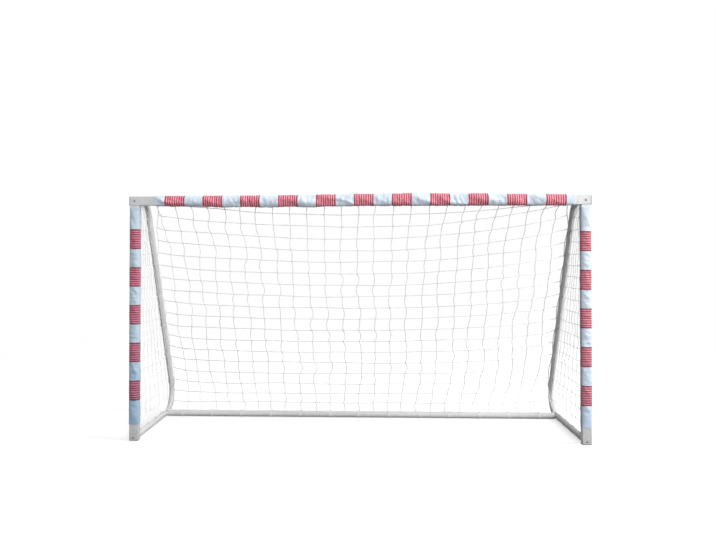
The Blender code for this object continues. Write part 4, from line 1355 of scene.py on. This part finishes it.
def edge_point(side, share):
    """A point of the back net's side border: behind the slope, then inside it on its way to the rear bar."""
    start, end = BORDER_LEAVES
    turn = BORDER_TURN * min(max((end - share) / (end - start), 0.0), 1.0)
    inner, outer = edge_route(), edge_route(ROPE_OFF * math.sin(turn))
    marks = np.array([0.0, *np.cumsum([(b - a).length for a, b in zip(inner, inner[1:])])])
    at = share * marks[-1]
    leg = min(int(np.searchsorted(marks, at, side="right")) - 1, len(inner) - 2)
    point = outer[leg].lerp(outer[leg + 1], (at - marks[leg]) / (marks[leg + 1] - marks[leg]))
    aside = POST_X - ROPE_OFF * math.cos(turn) - rope_bow(share, side)
    return Vector((side * aside, point.x, point.y))


def edge_tie(side, row, rows):
    """The point of the side border at which a cord across ends."""
    return edge_point(side, edge_share(row, rows, side))


def back_knots(sizes):
    """The back net's knots as they hang on taut cords, with its top edge shifted and its foot gathered."""
    rows, columns = sizes.back_rows, sizes.back_columns
    edge, middle = edge_route(), middle_line()
    route, centre_line = line_of(edge), line_of(middle)
    way_down = sum((b - a).length for a, b in zip(edge, edge[1:]))
    dice = np.random.default_rng(17)
    wander = smoothed(dice.normal(0, 1, (rows + 1, columns + 1)), 0, 1)
    together = smoothed(smoothed(dice.normal(0, 1, (rows + 1, columns + 1)), 1, 6), 0, 1)
    rise = smoothed(dice.normal(0, 1, (rows + 1, columns + 1)), 1, 2)
    knots = np.zeros((rows + 1, columns + 1, 3))
    for row in range(rows + 1):
        at = row / rows - CENTRE_LIFT / rows * math.sin(math.pi * min(1.0, row / (rows - 3)))
        centre = on_route(middle, min(max(at, 0.0), 1.0))
        for column in range(columns + 1):
            across = 2 * column / columns - 1
            side = 1 if across > 0 else -1
            if column in (0, columns):
                knots[row, column] = edge_tie(side, row, rows)
                continue
            aside = (1 - abs(across)) * NET_X
            cut = max(0.0, 1 - aside / CORNER_CUT) ** 2
            tie = edge_tie(side, row, rows)
            inner = 0 < row < rows
            height = centre.y + (tie.z - centre.y) * (across**2 if inner else cut)
            fade = min(1.0, row / rows * way_down / PULL_START)
            weight = cut + (math.exp(-aside / PULL_REACH) - cut) * fade
            y = y_at(centre_line, height) * (1 - weight) + y_at(route, height) * weight
            if not inner:
                y = ROPE_BEHIND_Y * (1 - cut) + tie.y * cut if row == 0 else REAR_BAR_Y
            x = across * NET_X + drift(across, row, rows)
            if inner:
                x += KNOT_WANDER * (wander[row, column] + together[row, column])
                height += KNOT_RISE * rise[row, column]
            knots[row, column] = (x, y, height)
    return knots


def drift(across, row, rows):
    """Sideways shift of the knots: to the right along the crossbar, and to the middle at the foot."""
    squeeze = min(1.0, (1 - abs(across)) / 0.10)
    right = min(max((across - 0.05) / 0.4, 0.0), 1.0)
    top = TOP_DRIFT * right * squeeze * math.exp(-row / 1.4)
    low = min(max((row - rows + 3.5) / 2.5, 0.0), 1.0)
    return top - FOOT_GATHER * (1.25 if across > 0 else 0.85) * across * low


def smoothed(values, axis, times):
    """Values evened out along an axis and brought back to their spread."""
    for _ in range(times):
        values = 0.25 * np.roll(values, 1, axis) + 0.5 * values + 0.25 * np.roll(values, -1, axis)
    return values / values.std()


def between_rows(knots, bow, seed):
    """Knots with points added on the cords down between them, which bow to the sides."""
    step = CORD_STEP
    dice = np.random.default_rng(seed)
    rows, columns = knots.shape[:2]
    lean = smoothed(dice.normal(0, 1, (rows - 1, columns)), 1, 2)
    net = np.zeros(((rows - 1) * step + 1, columns, 3))
    for row in range(rows - 1):
        for part in range(step):
            share = part / step
            line = knots[row] * (1 - share) + knots[row + 1] * share
            line = line + np.outer(lean[row] * bow * math.sin(math.pi * share), BOW_SIDE)
            net[row * step + part] = line
    net[-1] = knots[-1]
    return net


def inner_edge_y(height):
    """Y of a side net's back edge: inside the top bend, the slope and the low bend."""
    top, low = TOP_BEND - ROPE_OFF - ROPE_R / 4, LOW_BEND - ROPE_OFF - ROPE_R / 4
    if height > TOP_CENTRE.y + top * OUTWARD.y:
        return TOP_CENTRE.x + math.sqrt(max(0.0, top**2 - (height - TOP_CENTRE.y) ** 2))
    if height < LOW_CENTRE.y + low * OUTWARD.y:
        return LOW_CENTRE.x + math.sqrt(max(0.0, low**2 - (height - LOW_CENTRE.y) ** 2))
    start = LOW_END - OUTWARD * ROPE_OFF
    return start.x - (height - start.y) * math.tan(SLOPE_LEAN)


def side_knots(side, sizes):
    """A side net's knots, from the post back to the side frame."""
    rows, columns = sizes.back_rows, sizes.side_columns
    dice = np.random.default_rng(40 + side)
    wander = smoothed(dice.normal(0, 1, (rows + 1, columns + 1)), 0, 1)
    rise = smoothed(dice.normal(0, 1, (rows + 1, columns + 1)), 1, 1)
    low, high = NET_LOW_Z, CROSSBAR_Z - ROPE_OFF
    knots = np.zeros((rows + 1, columns + 1, 3))
    for row in range(rows + 1):
        height = high + (low - high) * row / rows
        back = inner_edge_y(height)
        for column in range(columns + 1):
            share = column / columns
            y = ROPE_BEHIND_Y + (back - ROPE_BEHIND_Y) * share
            z = height
            if 0 < row < rows and 0 < column < columns:
                y += KNOT_WANDER * 0.8 * wander[row, column]
                z += KNOT_RISE * rise[row, column]
            knots[row, column] = (side * POST_X, y, z)
    return knots


def hang(places, row_slack, column_slack, seed):
    """Lets a net of cords settle. Places are rows of points; a cord across lies at every fourth."""
    step = CORD_STEP
    dice = np.random.default_rng(seed)
    rows, columns = places.shape[:2]
    row_rest = np.linalg.norm(places[::step, 1:] - places[::step, :-1], axis=2) * (1 + row_slack)
    column_rest = np.linalg.norm(places[1:] - places[:-1], axis=2)
    column_rest = column_rest * dice.uniform(1.0, 1.0 + column_slack, column_rest.shape)
    loose = np.ones((rows, columns, 1))
    loose[0] = loose[-1] = 0.0
    loose[:, 0] = loose[:, -1] = 0.0
    net = places.copy()
    for turn in range(SETTLE_ROUNDS):
        net[..., 2:] -= loose * SETTLE_WEIGHT * (1 - turn / SETTLE_ROUNDS)
        for _ in range(2):
            for first in (0, 1):
                pull(net, loose, slice(None, None, step), slice(first, columns - 1, 2), row_rest, True)
                pull(net, loose, slice(first, rows - 1, 2), slice(None), column_rest, False)
    return net


def pull(net, loose, row_slice, column_slice, rest, sideways):
    """Draws the ends of overlong cords together."""
    a_index = (row_slice, column_slice)
    if sideways:
        b_index = (row_slice, slice(column_slice.start + 1, None, 2))
        length = rest[:, column_slice]
    else:
        b_index = (slice(row_slice.start + 1, None, 2), column_slice)
        length = rest[row_slice]
    free_a, free_b = loose[a_index], loose[b_index]
    gap = net[b_index] - net[a_index]
    reach = np.linalg.norm(gap, axis=2, keepdims=True) + 1e-9
    move = gap * (np.maximum(0.0, reach - length[..., None]) / reach)
    share = np.maximum(free_a + free_b, 1.0)
    net[a_index] += move * free_a / share
    net[b_index] -= move * free_b / share


def knot_form(name):
    """A tight mesh knot as a small lumpy ball with a pinched waist."""
    mesh = bpy.data.meshes.new(name)
    shape = bmesh.new()
    bmesh.ops.create_icosphere(shape, subdivisions=2, radius=1.0)
    for vertex in shape.verts:
        x, y, z = vertex.co
        pinch = 1.0 - 0.22 * math.exp(-((x - y) / 0.35) ** 2)
        vertex.co = (x * 1.15 * pinch, y * 1.15 * pinch, z * 0.72)
    shape.to_mesh(mesh)
    shape.free()
    mesh.shade_smooth()
    layer = mesh.uv_layers.new(name="UVMap")
    for loop in mesh.loops:
        x, y, z = mesh.vertices[loop.vertex_index].co
        layer.data[loop.index].uv = (x * 0.004, math.atan2(y, z) / (2 * math.pi))
    return placed(name, mesh)


def knotted_net(name, net, sizes, fine, border_line, finishes, trees, seed):
    """Strands, knots and border rope of one net panel as one mesh."""
    step = CORD_STEP
    rows, columns = net.shape[:2]
    strands = [net[:, c] for c in range(1, columns - 1)]
    strands += [net[r] for r in range(step, rows - 1, step)]
    cord = grown(
        lines_object(f"{name}_strands", strands), trees["cord"], Radius=sizes.strand / 2 * fine,
        Spacing=0.016, Sides=5, Material=finishes["strand"],
    )
    rope = grown(
        lines_object(f"{name}_border", [border_line]), trees["cord"], Radius=ROPE_R * 0.94 * fine,
        Spacing=0.0035, Sides=9, Lobes=3.0, Lobe_Depth=0.10, Turns_per_Metre=45.0,
        Material=finishes["rope"],
    )
    places, turns = [], []
    dice = random.Random(seed)
    for r in range(step, rows - 1, step):
        for c in range(1, columns - 1):
            places.append(net[r, c])
            across = Vector(net[r, c + 1] - net[r, c - 1]).normalized()
            down = Vector(net[r + 1, c] - net[r - 1, c]).normalized()
            out = across.cross(down).normalized()
            turn = Matrix((across, out.cross(across), out)).transposed().to_euler()
            turns.append((turn.x, turn.y, turn.z + dice.uniform(-0.3, 0.3)))
    ball = knot_form("knot_form")
    knots = set_out(
        f"{name}_knots", places, turns, ball, trees["set_out"], finishes["strand"], seed,
        sizes.knot / 2 * fine, 0.15,
    )
    discard(ball)
    return joined(name, [cord, rope, knots])


def nets(goal, finishes, trees):
    """Back and side nets."""
    sizes = goal.net
    knots = back_knots(sizes)
    net = hang(between_rows(knots, STRAND_BOW, 24), sizes.row_slack, sizes.column_slack, 21)
    sides = {side: [edge_point(side, i / 140) for i in range(141)] for _, side in SIDES}
    top, foot = edge_line(knots[0], CROSSBAR_TIES, -0.006), edge_line(knots[-1], sizes.rear_straps, 0.002)
    border = [*top, *sides[1][1:], *foot[-2::-1], *sides[-1][-2::-1]]
    border[-1] = border[0]
    piece = knotted_net("net_panel_back", net, sizes, 1.0, border, finishes, trees, 31)
    settle(piece, "net_cord", "net_back")
    for word, side in SIDES:
        knots = side_knots(side, sizes)
        net = between_rows(knots, STRAND_BOW * 0.7, 26 + side)
        net = hang(net, SIDE_ROW_SLACK, sizes.column_slack, 22 + side)
        border = [*knots[0], *net[1:, -1], *knots[-1, -2::-1], *net[-2::-1, 0]]
        name = f"net_panel_{word}"
        piece = knotted_net(name, net, sizes, SIDE_FINE, border, finishes, trees, 33 + side)
        settle(piece, "net_cord", f"net_{word}")


def edge_line(knots, ties, hang_off):
    """A border along a row of knots, with a low wave between its ties."""
    line = []
    marks = np.linspace(0, len(knots) - 1, 160)
    for mark in marks:
        low = min(int(mark), len(knots) - 2)
        point = Vector(knots[low]).lerp(Vector(knots[low + 1]), mark - low)
        share = mark / (len(knots) - 1)
        point.z += hang_off * abs(math.sin(math.pi * share * ties))
        line.append(point)
    return line


def strap_form(name, circles, tail):
    """A hook-and-loop strap pulled round some circles in its own (x, y) plane, with a short loose tail."""
    points = []
    for (cx, cy), radius in circles:
        for i in range(48):
            angle = 2 * math.pi * i / 48
            points.append((cx + radius * math.cos(angle), cy + radius * math.sin(angle)))
    points.sort()

    def half(ordered):
        kept = []
        for p in ordered:
            while len(kept) > 1:
                (ax, ay), (bx, by) = kept[-2:]
                if (bx - ax) * (p[1] - ay) - (by - ay) * (p[0] - ax) > 0:
                    break
                kept.pop()
            kept.append(p)
        return kept[:-1]

    hull = half(points) + half(points[::-1])
    way, dense = way_along([*hull, hull[0]])
    marks = np.arange(0, way[-1] + tail, 0.0025)
    loop = on_way(way, dense, marks % way[-1])
    ahead = np.roll(loop, -1, 0) - np.roll(loop, 1, 0)
    ahead[0], ahead[-1] = loop[1] - loop[0], loop[-1] - loop[-2]
    out = np.stack([ahead[:, 1], -ahead[:, 0]], 1)
    out /= np.linalg.norm(out, axis=1, keepdims=True)
    ends = [0, way[-1] - 0.004, way[-1], way[-1] + tail]
    lift = np.interp(marks, ends, [0, 0, TAPE_THICK * 1.05, TAPE_THICK * 1.9])
    return tape_along(name, loop, lift, TAPE_THICK, out, list(marks))


def tape_along(name, loop, lift, thick, out=None, marks=None):
    """A tape of an even width along a line in its own (x, y) plane, lifted off it to its right."""
    if out is None:
        ahead = np.gradient(loop, axis=0)
        out = np.stack([ahead[:, 1], -ahead[:, 0]], 1)
        out /= -np.linalg.norm(out, axis=1, keepdims=True)
        steps = np.linalg.norm(np.diff(loop, axis=0), axis=1)
        marks = [0.0, *np.cumsum(steps)]
        loop = loop - out * thick / 2
    rings, half_wide = [], TAPE_WIDTH / 2
    for place, normal, rise in zip(loop, out, lift):
        near, far = place + normal * rise, place + normal * (rise + thick)
        rings.append(np.array([
            (*near, -half_wide + 0.0003), (*near, half_wide - 0.0003), (*(near * 0.7 + far * 0.3), half_wide),
            (*(near * 0.3 + far * 0.7), half_wide), (*far, half_wide - 0.0003), (*far, -half_wide + 0.0003),
            (*(near * 0.3 + far * 0.7), -half_wide), (*(near * 0.7 + far * 0.3), -half_wide),
        ]))
    return rings_to_mesh(name, rings, capped=True, lengths=marks)


def angles_of(x_axis, y_axis, z_axis):
    """The angles that turn X, Y and Z to three directions."""
    return tuple(Matrix((x_axis, y_axis, z_axis)).transposed().to_euler())


def straps(goal, finish, tree):
    """Straps on the rear bar, the slopes, the ground tubes and the arms."""
    tube, rope = ((0, 0), TUBE_R + TOUCH), ((0, ROPE_OFF), ROPE_R + TOUCH)
    form = strap_form("rear_form", [tube, rope], STRAP_TAIL)
    count = goal.net.rear_straps
    dice = random.Random(5)
    middles = [-NET_X + 2 * NET_X * (i + 0.5) / count + dice.uniform(-0.006, 0.006) for i in range(count)]
    places = [(x, REAR_BAR_Y, TUBE_Z) for x in middles]
    turns = [angles_of(ALONG_Y, ALONG_Z, ALONG_X)] * count
    made = set_out("straps_rear", places, turns, form, tree, finish, 4)
    settle(made, "white_tape", *(f"rear_tie_{word}_{i}" for word, _ in SIDES for i in (1, 2, 3)))
    discard(form)
    for word, side in SIDES:
        made = []
        first = 2 if EDGE_OFF[side][1] > 1 / SIDE_TIES else 1
        for part, turn, ties in (("high", BORDER_TURN, range(first, 6)), ("low", 0.0, (6,))):
            back_rope = (-side * ROPE_OFF * math.cos(turn), ROPE_OFF * math.sin(turn))
            circles = [tube, (back_rope, rope[1]), ((0, -ROPE_OFF), rope[1])]
            form = strap_form(f"slope_form_{part}", circles, STRAP_TAIL)
            places = [at_side(side, on_route(edge_route(), tie / SIDE_TIES)) for tie in ties]
            turns = [angles_of(ALONG_X, at_side(0, OUTWARD), at_side(0, UP))] * len(places)
            made.append(set_out(f"ties_{part}", places, turns, form, tree, finish, 5))
            discard(form)
        settle(joined(f"straps_slope_{word}", made), "white_tape",
               *(f"slope_tie_{word}_{i}" for i in (1, 2, 3)))

        form = strap_form(f"run_form_{word}", [tube, rope], RUN_STRAP_TAIL)
        places = [Vector((side * POST_X, at, TUBE_Z)) for at in RUN_STRAPS]
        turns = [angles_of(-ALONG_X * side, ALONG_Z, ALONG_Y * side) for _ in places]
        places.append(Vector((side * POST_X, (BEHIND_Y + TOP_CENTRE.x) / 2, CROSSBAR_Z)))
        turns.append(angles_of(ALONG_X * side, -ALONG_Z, ALONG_Y * side))
        settle(set_out(f"straps_run_{word}", places, turns, form, tree, finish, 6), "white_tape")
        discard(form)


def stage(goal):
    """Pale floor, four soft disc lamps, a sky brighter overhead, and the camera at the photograph's place."""
    look = goal.stage
    floor = shape_object(
        "floor", [(FLOOR * x, FLOOR * y, 0) for x, y in CORNERS], [(0, 1, 2, 3)], smooth=None,
    )
    coat(floor, floor_finish(look.floor_tone))
    # Each lamp: strength, degrees round from the front and up, distance, and how wide it shows in degrees
    lamps = (
        ("key", look.key, 75.0, 25.0, 15.0, 24.0),
        ("fill", look.fill, 14.0, 13.0, 14.0, 30.0),
        ("top", look.top, 60.0, 80.0, 12.0, 60.0),
        ("rear", look.rear, 165.0, 42.0, 14.0, 40.0),
    )
    for name, strength, around, high, away, width in lamps:
        lamp = bpy.data.lights.new(name, "AREA")
        lamp.shape = "DISK"
        lamp.size = 2 * away * math.tan(math.radians(width / 2))
        lamp.energy = strength * math.pi * away**2
        disc = placed(name, lamp)
        around, high = math.radians(around), math.radians(high)
        back = Vector((math.sin(around) * math.cos(high), -math.cos(around) * math.cos(high), math.sin(high)))
        disc.location = Vector((0, 0, 0.7)) + back * away
        disc.rotation_euler = facing(back)

    world = bpy.data.worlds.new("sky")
    world.use_nodes = True
    bpy.context.scene.world = world
    nodes = Nodes(world.node_tree)
    world.node_tree.nodes.clear()
    height = nodes.add("ShaderNodeSeparateXYZ", values={0: nodes.add("ShaderNodeTexCoord", out="Generated")})
    dome = (0.25 + height.other("Z").held() * 0.9) * look.sky
    strength = dome + directly_seen(nodes) * (1.0 - dome)
    sky = nodes.add("ShaderNodeBackground", values={"Color": (1, 1, 1, 1), "Strength": strength})
    nodes.add("ShaderNodeOutputWorld", values={"Surface": sky})

    lens = bpy.data.cameras.new("camera")
    lens.sensor_width = SENSOR
    lens.lens = SENSOR * FOCAL_PX / PHOTO_WIDE
    lens.shift_x = -CENTRE_RIGHT_PX / PHOTO_WIDE
    lens.shift_y = -CENTRE_UP_PX / PHOTO_WIDE
    lens.clip_end = 200.0
    camera = placed("camera", lens)
    camera.location = CAMERA_AT
    camera.rotation_euler = (math.pi / 2 + CAMERA_PITCH, 0.0, -CAMERA_YAW)
    bpy.context.scene.camera = camera
    bpy.context.scene.view_settings.view_transform = "Standard"


def length(name, description, default, **more):
    """A property in metres."""
    return FloatProperty(name=name, description=description, default=default, unit="LENGTH", **more)


def share(name, description, default, **more):
    """A property that is a part of 1."""
    return FloatProperty(name=name, description=description, default=default, subtype="FACTOR", **more)


def strength(name, description, default):
    return FloatProperty(name=name, description=description, default=default, min=0.0)


def count(name, description, default, least):
    return IntProperty(name=name, description=description, default=default, min=least)


def colour(name, description, *default):
    return FloatVectorProperty(name=name, description=description, default=default, subtype="COLOR", size=3)


class SleeveSizes(bpy.types.PropertyGroup):
    """The fabric sleeves and the bands printed on them."""

    looseness: length("Looseness", "Room between fabric and steel", 0.0, min=0.0, max=0.01)
    block_pitch: length("Band pitch", "From one printed band to the next", 0.2465)
    stripe_pitch: length("Stripe pitch", "From one stripe of a band to the next", 0.0148)
    stripes: count("Stripes", "Stripes in a band", 9, 1)
    stripe_share: share("Stripe share", "Inked part of the stripe pitch", 0.48, min=0.0, max=1.0)
    weave: length("Weave", "Pitch of the fabric's weave", 0.0011, precision=5)
    stitch_pitch: length("Stitch pitch", "From one stitch to the next", 0.0042, precision=4)


class NetSizes(bpy.types.PropertyGroup):
    """The knotted net and what ties it."""

    back_columns: count("Back columns", "Meshes across the back", 26, 4)
    back_rows: count("Rows", "Meshes from top to bottom", 19, 4)
    side_columns: count("Side columns", "Meshes across a side", 8, 2)
    strand: length("Strand", "Diameter of the net's cord", 0.0047, precision=4)
    knot: length("Knot", "Diameter of a knot", 0.0090, precision=4)
    row_slack: share("Row slack", "Spare length of the cords across", 0.0010, precision=4)
    column_slack: share("Column slack", "Spare length of the cords up and down", 0.030)
    rear_straps: count("Rear straps", "Straps on the rear bar", 13, 1)


class Colours(bpy.types.PropertyGroup):
    """Main colours, linear."""

    cloth: colour("Sleeve", "Unprinted sleeve fabric", 0.650, 0.740, 0.855)
    # The left post's cloth is a darker copy of the sleeve colour: painted shade for the weaker light on the
    # left
    post_left_cloth: colour("Left post's sleeve", "Its fabric, duller than the rest", 0.475, 0.590, 0.690)
    crossbar_ground: colour("Crossbar bands", "Ground of the crossbar's bands", 0.97, 0.285, 0.385)
    # Darker copy of the right post's band ground: painted shade for the weaker light on the left
    post_left_ground: colour("Left post bands", "Ground of the left post's bands", 0.67, 0.145, 0.250)
    post_right_ground: colour("Right post bands", "Ground of the right post's bands", 0.86, 0.225, 0.310)
    crossbar_ink: colour("Crossbar stripes", "Printed stripes of the crossbar", 0.29, 0.003, 0.014)
    # Darker copy of the right post's stripes: painted shade for the weaker light on the left
    post_left_ink: colour("Left post stripes", "Printed stripes of the left post", 0.160, 0.003, 0.012)
    post_right_ink: colour("Right post stripes", "Printed stripes of the right post", 0.210, 0.004, 0.012)
    tube: colour("Tubes", "Powder coat of the round tubes", 0.645, 0.655, 0.66)
    steel: colour("Steel", "Steel of the crossbar and posts", 0.55, 0.555, 0.56)
    net: colour("Net", "Net cord", 0.94, 0.945, 0.94)
    tape: colour("Tape", "Straps and loops", 0.70, 0.70, 0.695)


class StageLook(bpy.types.PropertyGroup):
    """Light and floor."""

    key: strength("Key", "Strength of the light from the right", 2.5)
    fill: strength("Fill", "Strength of the light from the front", 2.0)
    top: strength("Top", "Strength of the light from above", 0.50)
    rear: strength("Rear", "Strength of the light from behind", 0.8)
    sky: strength("Sky", "Strength of the sky", 0.42)
    floor_tone: share("Floor", "How pale the floor is", 0.52, min=0.0, max=1.0)


class GoalSettings(bpy.types.PropertyGroup):
    """Everything that a user would change."""

    sleeves: PointerProperty(type=SleeveSizes)
    net: PointerProperty(type=NetSizes)
    colours: PointerProperty(type=Colours)
    stage: PointerProperty(type=StageLook)


class GOAL_OT_steel(bpy.types.Operator):
    """Builds the crossbar, the posts and their plastic caps"""

    bl_idname = "goal.steel"
    bl_label = "Steel frame"

    def execute(self, context):
        steel_frame(steel_finish(tuple(context.scene.goal.colours.steel)))
        caps(plastic_finish())
        return {"FINISHED"}


class GOAL_OT_tubes(bpy.types.Operator):
    """Builds the side frames' tubes and the rear bar"""

    bl_idname = "goal.tubes"
    bl_label = "Round tubes"

    def execute(self, context):
        finish = tube_finish(tuple(context.scene.goal.colours.tube))
        side_tubes(finish)
        rear_bar(finish)
        return {"FINISHED"}


class GOAL_OT_fasteners(bpy.types.Operator):
    """Builds the bolts and screws, and coats the plugs and couplers inside the tubes"""

    bl_idname = "goal.fasteners"
    bl_label = "Fasteners"

    def execute(self, context):
        finish = zinc_finish()
        fasteners(finish, set_out_tree())
        for name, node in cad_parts.items():
            if "plug" in name or "coupler" in name:
                for slot in node.material_slots:
                    slot.material = finish
        return {"FINISHED"}


class GOAL_OT_sleeves(bpy.types.Operator):
    """Simulates the three fabric sleeves and sews them"""

    bl_idname = "goal.sleeves"
    bl_label = "Fabric sleeves"

    def execute(self, context):
        goal = context.scene.goal
        colours = goal.colours
        below = 4 * goal.sleeves.block_pitch + goal.sleeves.stripe_pitch * goal.sleeves.stripes
        prints = (
            ("crossbar", colours.cloth, CROSSBAR_PRINT, 11),
            # The left post takes its own darker, shaded copies of the colours (painted shade)
            ("post_left", colours.post_left_cloth, LEFT_PRINT_TOP - below, 5),
            ("post_right", colours.cloth, RIGHT_PRINT_TOP - below, 5),
        )
        cloths = []
        for word, cloth, first, bands in prints:
            ground, ink = (tuple(getattr(colours, f"{word}_{part}")) for part in ("ground", "ink"))
            finish = sleeve_finish(f"print_{word}", tuple(cloth), ground, ink, first, bands, goal.sleeves)
            cloths.append(finish)
        tape = tape_finish("sleeve_tape", tuple(goal.colours.tape))
        trees = {"stitches": stitch_tree(), "set_out": set_out_tree()}
        sleeves(goal, cloths, thread_finish((0.80, 0.84, 0.88)), tape, trees)
        return {"FINISHED"}


class GOAL_OT_net(bpy.types.Operator):
    """Hangs the three net panels"""

    bl_idname = "goal.net"
    bl_label = "Net"

    def execute(self, context):
        goal = context.scene.goal
        colour = tuple(goal.colours.net)
        finishes = {
            "strand": cord_finish("net_strand", colour, 0.012, 2.0),
            "rope": cord_finish("net_rope", colour, 0.022, 3.0),
        }
        nets(goal, finishes, {"cord": cord_tree(), "set_out": set_out_tree()})
        return {"FINISHED"}


class GOAL_OT_straps(bpy.types.Operator):
    """Ties the net to the tubes"""

    bl_idname = "goal.straps"
    bl_label = "Straps"

    def execute(self, context):
        goal = context.scene.goal
        straps(goal, tape_finish("strap_tape", tuple(goal.colours.tape)), set_out_tree())
        return {"FINISHED"}


class GOAL_OT_stage(bpy.types.Operator):
    """Sets the floor, the light and the camera"""

    bl_idname = "goal.stage"
    bl_label = "Stage"

    def execute(self, context):
        stage(context.scene.goal)
        return {"FINISHED"}


class GOAL_PT_sidebar(bpy.types.Panel):
    """The goal's steps in the 3D view's sidebar"""

    bl_idname = "GOAL_PT_sidebar"
    bl_label = "Soccer goal"
    bl_space_type = "VIEW_3D"
    bl_region_type = "UI"
    bl_category = "Goal"

    def draw(self, context):
        for operator in OPERATORS:
            self.layout.operator(operator.bl_idname)
        goal = context.scene.goal
        for group in (goal.sleeves, goal.net, goal.colours, goal.stage):
            box = self.layout.box()
            for name in group.__annotations__:
                box.prop(group, name)


OPERATORS = (
    GOAL_OT_steel, GOAL_OT_tubes, GOAL_OT_fasteners, GOAL_OT_sleeves, GOAL_OT_net, GOAL_OT_straps,
    GOAL_OT_stage,
)
CLASSES = (SleeveSizes, NetSizes, Colours, StageLook, GoalSettings, *OPERATORS, GOAL_PT_sidebar)


def register():
    for item in CLASSES:
        bpy.utils.register_class(item)
    bpy.types.Scene.goal = PointerProperty(type=GoalSettings)


def unregister():
    del bpy.types.Scene.goal
    for item in reversed(CLASSES):
        bpy.utils.unregister_class(item)


def main():
    register()
    bpy.ops.goal.steel()
    bpy.ops.goal.tubes()
    bpy.ops.goal.fasteners()
    bpy.ops.goal.sleeves()
    bpy.ops.goal.net()
    bpy.ops.goal.straps()
    bpy.ops.goal.stage()


if __name__ == "__main__":
    main()
